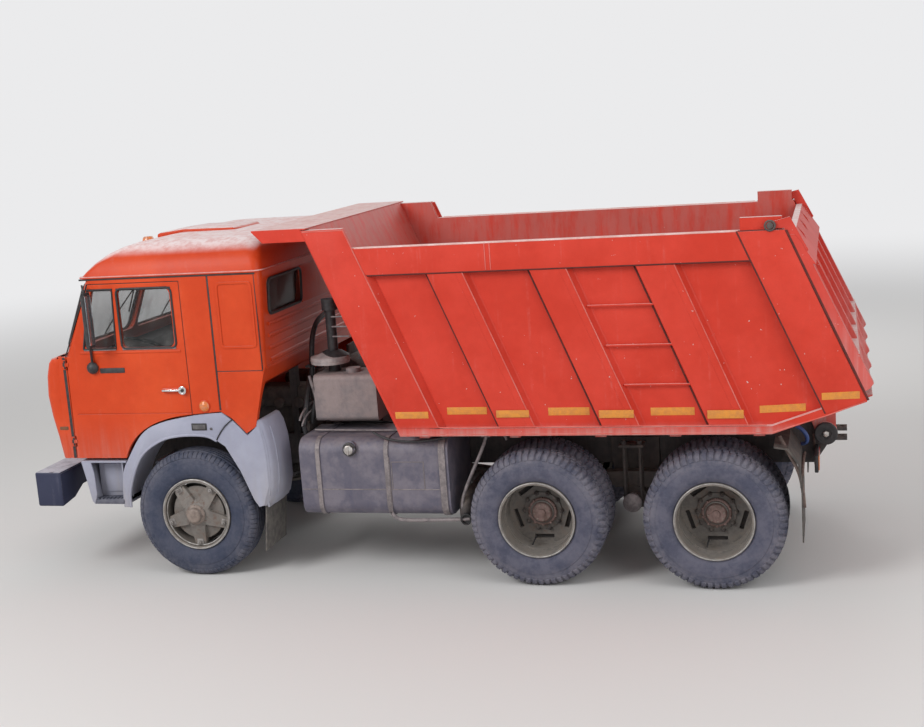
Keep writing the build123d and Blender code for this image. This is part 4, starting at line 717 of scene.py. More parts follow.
def rim_finish(axle: Axle) -> WheelGrime:
    """Paint of the rims on one axle, with painted shade on the down-facing faces of the dish.

    Args:
        axle: the axle.

    Returns:
        The finish.
    """
    return WheelGrime(
        f"rim_{axle.value}",
        axle.place,
        colour=(0.235, 0.215, 0.20) if axle.twin else (0.27, 0.245, 0.225),
        second=(0.19, 0.165, 0.15),
        dust=(0.34, 0.30, 0.26),
        ring=(120, 280),
        rust=(0.12, 0.065, 0.042),
        gloss=0.6,
        # painted shade of the dish: deeper on twin rims
        shadow=0.42 if axle.twin else 0.7,
    )


SLOT_FINISHES: dict[str, Finish] = {
    "cab_paint": ORANGE,
    "bed_paint": RED,
    "grey_paint": GREY,
    "chassis_paint": CHASSIS,
    "tank_paint": TANK,
    "casting": CAST,
    "bright_steel": BRIGHT,
    "clear_glass": GLASS,
    "trim": TRIM,
    "seat_cloth": CLOTH,
    "lamp_lens": CLEAR,
}


@dataclass
class Studio:
    """Pale floor, even light, and the camera that looks past the truck's left rear."""

    camera_place: Point = (-5061.0, 10895.0, 3612.0)
    yaw: float = 15.64
    pitch: float = 10.54
    roll: float = -4.14
    lens: float = 53.45
    backdrop: Rgb = (0.83, 0.83, 0.84)
    floor: Rgb = (0.74, 0.73, 0.72)
    world_light: float = 0.42
    sensor: float = 36.0
    aim: Point = (-1900.0, 0.0, 1200.0)
    floor_radius: float = 220.0
    reach: float = 300.0
    fade: Flat = (6.0, 24.0)
    lamps: tuple[tuple[str, Point, float, float], ...] = (
        ("key", (4500, 9500, 8500), 6.0, 900.0),
        ("fill", (-9500, 6000, 5000), 7.0, 260.0),
        ("back", (-3000, -9500, 7500), 7.0, 300.0),
    )

    def build(self) -> None:
        """Builds the camera, lamps, world and floor."""
        self._camera()
        self._world()
        self._lamps()
        self._floor()
        bpy.context.scene.view_settings.view_transform = "Standard"
        LOG.info("studio built")

    def _camera(self) -> None:
        """Sets the camera at its place and turn."""
        yaw, pitch, roll = radians(self.yaw), radians(self.pitch), radians(self.roll)
        ahead = Vector((sin(yaw) * cos(pitch), -cos(yaw) * cos(pitch), -sin(pitch)))
        right = ahead.cross(Vector((0, 0, 1))).normalized()
        up = right.cross(ahead)
        right, up = right * cos(roll) + up * sin(roll), up * cos(roll) - right * sin(roll)
        data = bpy.data.cameras.new("camera")
        data.lens = self.lens
        data.sensor_width = self.sensor
        data.clip_end = self.reach
        camera = bpy.data.objects.new("camera", data)
        bpy.context.scene.collection.objects.link(camera)
        turn = Matrix((right, up, -ahead)).transposed().to_4x4()
        camera.matrix_world = Matrix.Translation(at(*self.camera_place)) @ turn
        bpy.context.scene.camera = camera

    def _world(self) -> None:
        """Lights evenly from the world, which shows itself as the pale backdrop."""
        world = bpy.data.worlds.new("studio")
        world.use_nodes = True
        bpy.context.scene.world = world
        kit = NodeKit(world.node_tree)
        kinds = ("Camera", "Glossy", "Transmission")
        camera, glossy, through = (kit.add("ShaderNodeLightPath", output=f"Is {kind} Ray") for kind in kinds)
        seen = (camera + glossy + through).least(1.0)
        light = kit.add(
            "ShaderNodeBackground", sockets={"Color": (1.0, 1.0, 1.0), "Strength": self.world_light}
        )
        shown = kit.add("ShaderNodeBackground", sockets={"Color": self.backdrop, "Strength": 1.0})
        kit.close(
            kit.add("ShaderNodeMixShader", sockets={0: seen, 1: light, 2: shown}), "ShaderNodeOutputWorld"
        )

    def _lamps(self) -> None:
        """Adds three wide soft lamps."""
        for name, place, size, power in self.lamps:
            data = bpy.data.lights.new(name, "AREA")
            data.shape = "DISK"
            data.size = size
            data.energy = power
            lamp = bpy.data.objects.new(name, data)
            lamp.location = at(*place)
            aim = at(*self.aim) - lamp.location
            lamp.rotation_mode = "QUATERNION"
            lamp.rotation_quaternion = aim.to_track_quat("-Z", "Y")
            bpy.context.scene.collection.objects.link(lamp)

    def _floor(self) -> None:
        """Lays a floor that fades into the backdrop far out."""
        bpy.ops.mesh.primitive_circle_add(
            vertices=96, radius=self.floor_radius, fill_type="NGON", location=(0, 0, 0)
        )
        floor = bpy.context.object
        floor.name = "floor"
        material, kit = new_material("floor")
        x, y = kit.axis(kit.place, "X"), kit.axis(kit.place, "Y")
        far = (x * x + y * y).root()
        near = kit.surface(Base_Color=self.floor, Roughness=0.9)
        out = kit.add("ShaderNodeEmission", sockets={"Color": self.backdrop, "Strength": 1.0})
        shader = kit.add("ShaderNodeMixShader", sockets={0: far.ease(*self.fade), 1: near, 2: out})
        kit.close(shader)
        floor.data.materials.append(material)


# The pale blue-grey tint on the bumper's up-facing faces is dust and a painted highlight.
BUMPER = Enamel(
    "bumper_blue_grey", (0.028, 0.032, 0.066), (0.042, 0.047, 0.084), (0.42, 0.42, 0.46), (300, 640), 0.12,
    0.85, bleach=(0.58, 0.58, 0.64),
)
GUARD = Plain("guard_rubber", (0.045, 0.040, 0.038), (0.10, 0.085, 0.075), 0.8, 0.0, 14.0, 0.0015)
NODE_FINISHES: dict[str, Finish] = {
    "bumper": BUMPER,
    "exhaust": CAST,
    "rear_mudguards": GUARD,
    "hydraulic_tank": OIL_TANK,
    "tailgate": GATE,
}


def node_finish(name: str, slot: str) -> Finish:
    """Chooses the finish of one slot of a node of the frame.

    Args:
        name: the node's name.
        slot: the slot's name in the record.

    Returns:
        The finish.
    """
    kind, _, rest = name.partition("_")
    if kind in ("tyre", "rim"):
        maker = tyre_finish if kind == "tyre" else rim_finish
        return maker(Axle(rest.split("_")[0]))
    return NODE_FINISHES.get(name) or SLOT_FINISHES[slot]


def dress_frame() -> None:
    """Gives every node of the frame its finish."""
    for name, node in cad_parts.items():
        for place in node.material_slots:
            place.material = FINISHES.get(node_finish(name, place.material.name.split(".")[0]))
    LOG.info("%d nodes of the frame dressed", len(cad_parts))


class Bench:
    """The workbench: each method models with Blender's operators and leaves a mesh in its place."""

    @staticmethod
    def only(*pieces: Mesh) -> None:
        """Selects these pieces alone and makes the first one active.

        Args:
            pieces: the pieces.
        """
        for other in list(bpy.context.selected_objects):
            other.select_set(False)
        for piece in pieces:
            piece.select_set(True)
        bpy.context.view_layer.objects.active = pieces[0]

    @staticmethod
    @contextmanager
    def editing(piece: Mesh) -> Iterator[bmesh.types.BMesh]:
        """Opens one piece in edit mode.

        Args:
            piece: the piece.

        Yields:
            Its mesh, in which faces are chosen.
        """
        Bench.only(piece)
        bpy.ops.object.mode_set(mode="EDIT")
        bpy.ops.mesh.select_mode(type="FACE")
        try:
            yield bmesh.from_edit_mesh(piece.data)
        finally:
            bpy.ops.object.mode_set(mode="OBJECT")

    @staticmethod
    def settle() -> Mesh:
        """Puts the new piece's place into its mesh."""
        bpy.ops.object.transform_apply(location=True, rotation=True, scale=True)
        return bpy.context.object

    @staticmethod
    def modify(piece: Mesh, kind: str, **settings: object) -> Mesh:
        """Adds a modifier and applies it.

        Args:
            piece: the piece.
            kind: the modifier's type.
            settings: its properties.

        Returns:
            The piece.
        """
        Bench.only(piece)
        modifier = piece.modifiers.new(kind.lower(), kind)
        for name, value in settings.items():
            setattr(modifier, name, value)
        bpy.ops.object.modifier_apply(modifier=modifier.name)
        return piece

    @staticmethod
    def soften(piece: Mesh, width: float, steps: int = 2) -> Mesh:
        """Rounds a piece's sharp edges."""
        limits = {"limit_method": "ANGLE", "angle_limit": radians(SMOOTH_ANGLE)}
        return Bench.modify(piece, "BEVEL", width=width * MM, segments=steps, **limits)

    @staticmethod
    def block(low: Point, high: Point, edge: float = 0.0, steps: int = 2) -> Mesh:
        """Models a bar or box between two corners.

        Args:
            low: lowest corner.
            high: highest corner.
            edge: rounding of its edges, or none.
            steps: segments of the rounding.

        Returns:
            The piece.
        """
        start, end = at(*low), at(*high)
        bpy.ops.mesh.primitive_cube_add(size=1.0, location=(start + end) / 2, scale=end - start)
        piece = Bench.settle()
        return Bench.soften(piece, edge, steps) if edge else piece

    @staticmethod
    def rod(
        start: Point, end: Point, radius: float, edge: float = 0.0, sides: int = 24, tip: float | None = None
    ) -> Mesh:
        """Models a round bar, cap or bolt between two points.

        Args:
            start: middle of its foot.
            end: middle of its top.
            radius: radius at its foot.
            edge: rounding of its rims, or none.
            sides: number of sides.
            tip: radius at its top, or the same.

        Returns:
            The piece.
        """
        foot, top = at(*start), at(*end)
        along = top - foot
        bpy.ops.mesh.primitive_cone_add(
            vertices=sides,
            radius1=radius * MM,
            radius2=(radius if tip is None else tip) * MM,
            depth=along.length,
            location=(foot + top) / 2,
            rotation=along.to_track_quat("Z", "Y").to_euler(),
        )
        piece = Bench.settle()
        return Bench.soften(piece, edge) if edge else piece

    @staticmethod
    def plate(outline: Sequence[Point], through: Point, edge: float = 0.0) -> Mesh:
        """Models a plate from its outline, pushed through to its thickness.

        Args:
            outline: corners in order, in one plane.
            through: the push, in millimetres along each axis.
            edge: rounding of its edges, or none.

        Returns:
            The piece.
        """
        bpy.ops.mesh.primitive_circle_add(vertices=len(outline), fill_type="NGON")
        piece = Bench.settle()
        for corner, place in zip(piece.data.vertices, outline):
            corner.co = at(*place)
        push = Vector(through) * MM
        with Bench.editing(piece):
            bpy.ops.mesh.select_all(action="SELECT")
            bpy.ops.mesh.extrude_region_move(TRANSFORM_OT_translate={"value": push})
            bpy.ops.mesh.select_all(action="SELECT")
            bpy.ops.mesh.normals_make_consistent(inside=False)
        return Bench.soften(piece, edge) if edge else piece

    @staticmethod
    def loft(rings: Sequence[Sequence[Point]], edge: float = 0.0, steps: int = 3) -> Mesh:
        """Models a closed form through rings of corners, by extruding its end face ring by ring.

        Args:
            rings: rings with the same number of corners, from one end to the other.
            edge: rounding of its sharp edges, or none.
            steps: segments of the rounding.

        Returns:
            The piece.
        """
        piece = Bench.plate(rings[0], tuple(b - a for a, b in zip(rings[0][0], rings[1][0])))
        last = [at(*corner) + at(*rings[1][0]) - at(*rings[0][0]) for corner in rings[0]]
        far = sum(last, Vector()) / len(last)
        with Bench.editing(piece) as mesh:
            top = min(mesh.faces, key=lambda face: (face.calc_center_median() - far).length)
            for number, ring in enumerate(rings[1:]):
                if number:
                    bpy.ops.mesh.select_all(action="DESELECT")
                    top.select_set(True)
                    bpy.ops.mesh.extrude_region_move()
                    mesh = bmesh.from_edit_mesh(piece.data)
                    top = max((face for face in mesh.faces if face.select), key=lambda face: len(face.verts))
                places = [at(*corner) for corner in ring]
                for corner in top.verts:
                    nearest = min(range(len(last)), key=lambda index: (last[index] - corner.co).length)
                    corner.co = places[nearest]
                last = places
            bmesh.update_edit_mesh(piece.data)
            bpy.ops.mesh.select_all(action="SELECT")
            bpy.ops.mesh.normals_make_consistent(inside=False)
        return Bench.soften(piece, edge, steps) if edge else piece

    @staticmethod
    def cut(piece: Mesh, cutter: Mesh) -> Mesh:
        """Cuts one piece with another, which is used up.

        Args:
            piece: the piece that is cut.
            cutter: the form that is taken away.

        Returns:
            The piece.
        """
        Bench.modify(piece, "BOOLEAN", operation="DIFFERENCE", solver="EXACT", object=cutter)
        bpy.data.objects.remove(cutter)
        return piece

    @staticmethod
    def turned(outline: Sequence[Flat], centre: Point, steps: int = 64, turn: float = 360.0) -> Mesh:
        """Models a turned piece about an axle through a point.

        Args:
            outline: (y, radius) corners in order, with y from the point.
            centre: the point.
            steps: number of steps round.
            turn: angle in degrees.

        Returns:
            The piece.
        """
        bpy.ops.mesh.primitive_circle_add(vertices=len(outline), fill_type="NOTHING")
        piece = Bench.settle()
        x, y, z = centre
        for corner, (across, radius) in zip(piece.data.vertices, outline):
            corner.co = at(x, y + across, z + radius)
        with Bench.editing(piece):
            bpy.ops.mesh.select_all(action="SELECT")
            bpy.ops.mesh.spin(steps=steps, angle=radians(turn), center=at(*centre), axis=(0.0, 1.0, 0.0))
            bpy.ops.mesh.select_all(action="SELECT")
            bpy.ops.mesh.remove_doubles(threshold=MERGE_DISTANCE)
            bpy.ops.mesh.delete_loose()
            bpy.ops.mesh.select_all(action="SELECT")
            bpy.ops.mesh.normals_make_consistent(inside=False)
        return piece

    @staticmethod
    def ring(centre: Point, radius: float, thick: float, steps: int = 64) -> Mesh:
        """Models a round ring about the Y axis.

        Args:
            centre: its middle.
            radius: radius of its middle line.
            thick: radius of its section.
            steps: number of steps round.

        Returns:
            The piece.
        """
        bpy.ops.mesh.primitive_torus_add(
            location=at(*centre),
            rotation=(radians(90), 0.0, 0.0),
            major_radius=radius * MM,
            minor_radius=thick * MM,
            major_segments=steps,
            minor_segments=8,
        )
        return Bench.settle()

    @staticmethod
    def tube(route: Sequence[Point], radius: float, smooth: bool = True) -> Mesh:
        """Models a pipe, hose or bent rod along a route.

        Args:
            route: its points.
            radius: its radius.
            smooth: whether it bends smoothly between its points.

        Returns:
            The piece.
        """
        bpy.ops.curve.primitive_nurbs_path_add()
        curve = bpy.context.object
        curve.location = (0.0, 0.0, 0.0)
        curve.data.splines.clear()
        spline = curve.data.splines.new("NURBS" if smooth else "POLY")
        spline.points.add(len(route) - 1)
        for point, place in zip(spline.points, route):
            point.co = (*at(*place), 1.0)
        spline.order_u = min(4, len(route))
        spline.use_endpoint_u = True
        spline.resolution_u = 6
        curve.data.bevel_depth = radius * MM
        curve.data.bevel_resolution = 3
        curve.data.use_fill_caps = True
        Bench.only(curve)
        bpy.ops.object.convert(target="MESH")
        return Bench.settle()

    @staticmethod
    def join(*pieces: Mesh) -> Mesh:
        """Joins pieces into the first one.

        Args:
            pieces: the pieces.

        Returns:
            The first piece.
        """
        Bench.only(*pieces)
        if len(pieces) > 1:
            bpy.ops.object.join()
        return pieces[0]

    @staticmethod
    def copies(piece: Mesh, moves: Sequence[Matrix]) -> Mesh:
        """Copies a piece to several places, joins the copies and drops the first one.

        Args:
            piece: the piece that is copied.
            moves: a move for each copy.

        Returns:
            The joined copies.
        """
        made = []
        for move in moves:
            copy = piece.copy()
            copy.data = piece.data.copy()
            copy.data.transform(move)
            if move.determinant() < 0:
                copy.data.flip_normals()
            bpy.context.scene.collection.objects.link(copy)
            made.append(copy)
        bpy.data.objects.remove(piece)
        return Bench.join(*made)

    @staticmethod
    def both(piece: Mesh) -> Mesh:
        """Keeps a left piece and adds its mirror image on the right."""
        return Bench.copies(piece, (Matrix.Identity(4), MIRROR))

    @staticmethod
    def pair(
        piece: Mesh, name: str, finish: Finish, body: str, slot: str = "trim", angle: float = SMOOTH_ANGLE
    ) -> tuple[Mesh, Mesh]:
        """Finishes a left piece and its mirror image, each on the body of its own side.

        Args:
            piece: the left piece.
            name: name of both, without the side.
            finish: their finish.
            body: name of their bodies, without the side.
            slot: the record's slot of their finish.
            angle: edges flatter than this are shaded smooth, in degrees.

        Returns:
            The left and right pieces.
        """
        mirrored = Bench.copies(piece.copy(), (MIRROR,))
        made = ((piece, Side.LEFT), (mirrored, Side.RIGHT))
        return tuple(
            Bench.finish(shape, f"{name}_{side.word}", finish, f"{body}_{side.word}", slot, angle)
            for shape, side in made
        )

    @staticmethod
    def finish(
        piece: Mesh, name: str, finish: Finish, body: str = "chassis", slot: str = "trim",
        angle: float = SMOOTH_ANGLE,
    ) -> Mesh:
        """Names, dresses and mounts a finished piece.

        Args:
            piece: the piece.
            name: its name.
            finish: its finish.
            body: the body that it rides on.
            slot: not used.
            angle: edges flatter than this are shaded smooth, in degrees.

        Returns:
            The piece.
        """
        Bench.only(piece)
        bpy.ops.object.shade_smooth_by_angle(angle=radians(angle))
        piece.name = name
        piece.data.name = name
        piece.data.materials.clear()
        piece.data.materials.append(FINISHES.get(finish))
        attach(piece, body)
        LOG.info("%s: %d faces on %s", name, len(piece.data.polygons), body)
        return piece


MIRROR = Matrix.Diagonal((1.0, -1.0, 1.0, 1.0))


def rounded(low: Flat, high: Flat, corner: float, steps: int = 5) -> list[Flat]:
    """Corners of a rectangle with round corners.

    Args:
        low: its lowest corner.
        high: its highest corner.
        corner: radius of its corners.
        steps: steps of each corner.

    Returns:
        The corners in order.
    """
    middles = (
        (high[0] - corner, high[1] - corner, 0.0),
        (low[0] + corner, high[1] - corner, 90.0),
        (low[0] + corner, low[1] + corner, 180.0),
        (high[0] - corner, low[1] + corner, 270.0),
    )
    corners = []
    for x, y, start in middles:
        for step in range(steps + 1):
            angle = radians(start + 90.0 * step / steps)
            corners.append((x + corner * cos(angle), y + corner * sin(angle)))
    return corners


def plan(front: float, rear: float, half: float, corner: float, z: float) -> list[Point]:
    """A level ring round the cab, with round corners, from its front and rear places and half width."""
    return [(x, y, z) for x, y in rounded((rear, -half), (front, half), corner)]


def smooth_line(points: Sequence[Flat], steps: int = 5) -> list[Flat]:
    """A smooth line through points, each stretch in a few steps.

    Args:
        points: the points in order.
        steps: steps of each stretch.

    Returns:
        The line's points.
    """
    padded = [points[0], *points, points[-1]]
    line = []
    for a, b, c, d in zip(padded, padded[1:], padded[2:], padded[3:]):
        for step in range(steps):
            t = step / steps
            line.append(tuple(
                0.5 * (2 * q + (r - p) * t + (2 * p - 5 * q + 4 * r - s) * t * t
                       + (3 * q - p - 3 * r + s) * t ** 3)
                for p, q, r, s in zip(a, b, c, d)
            ))
    return line + [tuple(points[-1])]


def side_ring(corners: Sequence[Flat], y: float) -> list[Point]:
    """A closed route on the truck's left side, through (x, z) corners."""
    return [(x, y, z) for x, z in corners] + [(corners[0][0], y, corners[0][1])]


def rolled(centre: Point, angle: float, axis: str = "Y") -> Matrix:
    """A turn about an axis through a point."""
    place = Matrix.Translation(at(*centre))
    return place @ Matrix.Rotation(radians(angle), 4, axis) @ place.inverted()


def round_about(centre: Point, count: int, start: float = 0.0) -> list[Matrix]:
    """Even turns about an axle."""
    return [rolled(centre, start + step * 360.0 / count) for step in range(count)]


@dataclass
class Tyres:
    """Tyres with their carcass and tread, each standing for its plain node."""

    radius: float = 525.0
    half_width: float = 139.0
    bead_radius: float = 297.0
    bead_half: float = 108.0
    groove_depth: float = 11.0
    steps: int = 96
    rear_lugs: int = 62
    front_lugs: int = 78
    twin_middle: float = 928.0
    twin_spacing: float = 318.0
    front_middle: float = 1013.0
    smooth: float = 28.0

    def build(self) -> None:
        """Builds the six tyre pieces."""
        for axle in Axle:
            name = axle.value
            offsets = (-self.twin_spacing / 2, self.twin_spacing / 2) if axle.twin else (0.0,)
            middle = self.twin_middle if axle.twin else self.front_middle
            parts = [self._tyre((axle.behind, middle + offset, self.radius), axle.twin) for offset in offsets]
            tyre = Bench.join(*parts)
            pieces = Bench.pair(tyre, f"{name}_tyre", tyre_finish(axle), f"wheel_{name}", "tyre", self.smooth)
            for piece, side in zip(pieces, Side):
                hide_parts(f"tyre_{name}_{side.word}")

    def _tyre(self, centre: Point, heavy: bool) -> Mesh:
        """Models one tyre.

        Args:
            centre: its middle.
            heavy: whether it has the deep lugs of a driven wheel.

        Returns:
            The tyre.
        """
        carcass = self._carcass(centre)
        tread = self._heavy_tread(centre) if heavy else self._road_tread(centre)
        return Bench.join(carcass, tread)

    def _carcass(self, centre: Point) -> Mesh:
        """Models the sidewalls, shoulders and tread ground as one turned ring.

        Args:
            centre: the tyre's middle.

        Returns:
            The ring.
        """
        half, bead = self.half_width, self.bead_half
        ground = self.radius - self.groove_depth
        wall = [
            (-bead + 20, self.bead_radius - 8), (-bead, self.bead_radius + 2),
            (-bead - 10, self.bead_radius + 20), (-half + 9, 338), (-half + 8, 344), (-half + 1, 372),
            (-half, 396), (-half + 2, 418), (-half + 3, 424), (-half + 7, 427), (-half + 9, 446),
            (-half + 14, 466), (-half + 26, 488), (-half + 46, 505), (-half + 74, ground),
        ]
        inside = [(bead - 34, 318), (-bead + 34, 318)]
        outline = wall + [(-across, radius) for across, radius in reversed(wall)] + inside
        return Bench.turned(outline, centre, self.steps)

    def _lug(self, centre: Point, section: Sequence[Flat], long: float, skew: float, edge: float) -> Mesh:
        """Models one tread block at the top of a tyre.

        Args:
            centre: the tyre's middle.
            section: its (across, radius) corners.
            long: its length round the tyre.
            skew: how far its outer end is ahead of its inner end.
            edge: rounding of its edges.

        Returns:
            The block.
        """
        x, y, z = centre
        inner = min(abs(across) for across, _ in section)
        outline = [
            (x - long / 2 + skew * (abs(across) - inner) / self.half_width, y + across, z + radius)
            for across, radius in section
        ]
        return Bench.plate(outline, (long, 0.0, 0.0), edge)

    def _heavy_tread(self, centre: Point) -> Mesh:
        """Models the shoulder lugs and the centre blocks of a driven wheel.

        Args:
            centre: the tyre's middle.

        Returns:
            The joined blocks.
        """
        pitch = 2 * pi * self.radius / self.rear_lugs
        half, high = self.half_width, self.radius
        shoulder = [
            (54, high - 20), (54, high), (half - 66, high - 3), (half - 40, high - 12),
            (half - 19, high - 31), (half - 8, high - 54), (half - 14, high - 60), (half - 50, high - 34),
        ]
        middle = [(5, high - 18), (5, high), (44, high), (44, high - 18)]
        rows = []
        for sign in (1, -1):
            outer = [(sign * across, radius) for across, radius in shoulder]
            inner = [(sign * across, radius) for across, radius in middle]
            start = 0.0 if sign > 0 else 180.0 / self.rear_lugs
            turns = round_about(centre, self.rear_lugs, start)
            rows.append(Bench.copies(self._lug(centre, outer, pitch * 0.64, 12.0 * sign, 2.5), turns))
            rows.append(Bench.copies(self._lug(centre, inner, pitch * 0.72, 40.0 * sign, 2.0), turns))
        return Bench.join(*rows)

    def _road_tread(self, centre: Point) -> Mesh:
        """Models four ribs round the tyre and the notched shoulders of a steered wheel.

        Args:
            centre: the tyre's middle.

        Returns:
            The joined ribs and blocks.
        """
        half, high = self.half_width, self.radius
        ground = high - self.groove_depth - 2
        ribs = []
        for start, end in ((-72, -40), (-32, -4), (4, 32), (40, 72)):
            outline = [
                (start, ground), (start + 2, high - 2), (start + 5, high), (end - 5, high),
                (end - 2, high - 2), (end, ground),
            ]
            ribs.append(Bench.turned(outline, centre, self.steps))
        shoulder = [
            (80, high - 18), (80, high - 5), (half - 36, high - 15), (half - 18, high - 34),
            (half - 11, high - 52), (half - 17, high - 56), (half - 44, high - 30),
        ]
        pitch = 2 * pi * high / self.front_lugs
        for sign in (1, -1):
            section = [(sign * across, radius) for across, radius in shoulder]
            block = self._lug(centre, section, pitch * 0.86, 0.0, 2.0)
            ribs.append(Bench.copies(block, round_about(centre, self.front_lugs)))
        return Bench.join(*ribs)


@dataclass
class WheelFittings:
    """Rings, clamps, nuts, hub caps and valves of the wheels."""

    front_middle: float = 1013.0
    front_face: float = 1033.0
    twin_middle: float = 928.0
    twin_outer: float = 1087.0
    rim_radius: float = 286.0
    rim_half: float = 122.0
    spokes: int = 5
    twin_nuts: int = 10
    clamp_lift: float = 66.0
    front_cap: tuple[Flat, ...] = (
        (104, 0), (104, 80), (112, 84), (120, 78), (128, 66), (152, 58), (160, 48), (163, 22), (164, 0),
    )
    twin_cap: tuple[Flat, ...] = (
        (30, 0), (30, 110), (40, 112), (48, 104), (52, 84), (68, 78), (76, 70), (80, 48), (82, 30), (92, 28),
        (94, 0),
    )
    front_drum: tuple[Flat, ...] = ((0, 90), (0, 244), (12, 250), (60, 250), (60, 90))
    twin_drum: tuple[Flat, ...] = ((0, 90), (0, 250), (12, 256), (50, 256), (50, 90))

    def build(self) -> None:
        """Builds the fittings of every wheel."""
        self._front((Axle.FRONT.behind, 0.0, AXLE_HEIGHT))
        for axle in (Axle.MIDDLE, Axle.REAR):
            self._twin(axle.value, (axle.behind, 0.0, AXLE_HEIGHT))

    def _nut(self, centre: Point, radius: float, face: float, size: float, long: float) -> Mesh:
        """Models a nut on its washer with its stud's end, above an axle.

        Args:
            centre: a point on the axle.
            radius: distance from the axle.
            face: Y of the face that it sits on.
            size: radius over its corners.
            long: its length.

        Returns:
            The nut.
        """
        x, _, z = centre
        foot = (x, face - 1, z + radius)
        washer = Bench.rod(foot, (x, face + 4, z + radius), size * 1.25, 1.0, 16)
        nut = Bench.rod(foot, (x, face + long, z + radius), size, 1.5, 6)
        stud = Bench.rod(foot, (x, face + long * 1.5, z + radius), size * 0.5, 1.5, 12)
        return Bench.join(washer, nut, stud)

    def _front(self, centre: Point) -> None:
        """Models the bright rings, the star's clamps and the hub cap of the front wheels.

        Args:
            centre: a point on the axle.
        """
        x, _, z = centre
        face = self.front_face
        edge = self.front_middle + self.rim_half
        rings = Bench.join(
            Bench.ring((x, edge - 3, z), self.rim_radius + 3, 7.5, 96),
            Bench.ring((x, edge - 20, z), self.rim_radius - 20, 7.0, 96),
        )
        Bench.pair(rings, "front_lock_ring", RING, "wheel_front", "rim_paint")
        outline = [
            (x + across, face + self.clamp_lift, z + radius)
            for across, radius in ((-34, 268), (-26, 214), (26, 214), (34, 268))
        ]
        clamp = Bench.plate(outline, (0.0, 16.0, 0.0), 4.0)
        clamp = Bench.join(clamp, self._nut(centre, 243, face + 82, 19, 24))
        turns = round_about(centre, self.spokes, 36.0)
        Bench.pair(Bench.copies(clamp, turns), "front_clamp", RIM_STEEL, "wheel_front", "rim_paint")
        cap = Bench.turned(self.front_cap, (x, face, z), 48)
        bolt = Bench.rod((x, face + 112, z + 74), (x, face + 124, z + 74), 8, 1.5, 6)
        bolts = Bench.copies(bolt, round_about(centre, 8))
        Bench.pair(Bench.join(cap, bolts), "front_hub_cap", HUB_DUST, "wheel_front", "rim_paint")
        drum = Bench.turned(self.front_drum, (x, self.front_middle - 70, z), 64)
        Bench.pair(drum, "front_drum", DRUM, "wheel_front", "rim_paint")

    def _twin(self, name: str, centre: Point) -> None:
        """Models the nuts, the hub cap and the outer ring of one twin axle.

        Args:
            name: the axle's word.
            centre: a point on the axle.
        """
        x, _, z = centre
        middle = self.twin_middle
        edge = self.twin_outer + self.rim_half
        ring = Bench.ring((x, edge - 2, z), self.rim_radius + 3, 6.5, 96)
        Bench.pair(ring, f"{name}_lock_ring", RING, f"wheel_{name}", "rim_paint")
        turns = round_about(centre, self.twin_nuts, 180.0 / self.twin_nuts)
        nuts = Bench.copies(self._nut(centre, 142, middle + 14, 17, 24), turns)
        drum = Bench.turned(self.twin_drum, (x, middle - 66, z), 64)
        Bench.pair(drum, f"{name}_drum", DRUM, f"wheel_{name}", "rim_paint")
        Bench.pair(nuts, f"{name}_wheel_nuts", CAST, f"wheel_{name}", "rim_paint")
        cap = Bench.turned(self.twin_cap, (x, middle, z), 48)
        bolt = Bench.rod((x, middle + 70, z + 60), (x, middle + 84, z + 60), 8, 1.5, 6)
        face_bolts = Bench.copies(bolt, round_about(centre, 8, 10.0))
        Bench.pair(face_bolts, f"{name}_cap_bolts", HUB_DUST, f"wheel_{name}", "rim_paint")
        bolt = Bench.rod((x, middle + 40, z + 106), (x, middle + 60, z + 106), 9, 1.5, 6)
        bolts = Bench.copies(bolt, round_about(centre, 10))
        Bench.pair(Bench.join(cap, bolts), f"{name}_hub_cap", HUB_RUST, f"wheel_{name}", "rim_paint")
        valve = Bench.tube(
            [(x + 60, middle + 40, z - 196), (x + 66, middle + 90, z - 214), (x + 70, middle + 150, z - 232)],
            6,
        )
        Bench.pair(valve, f"{name}_valve", TRIM, f"wheel_{name}", "rim_paint")


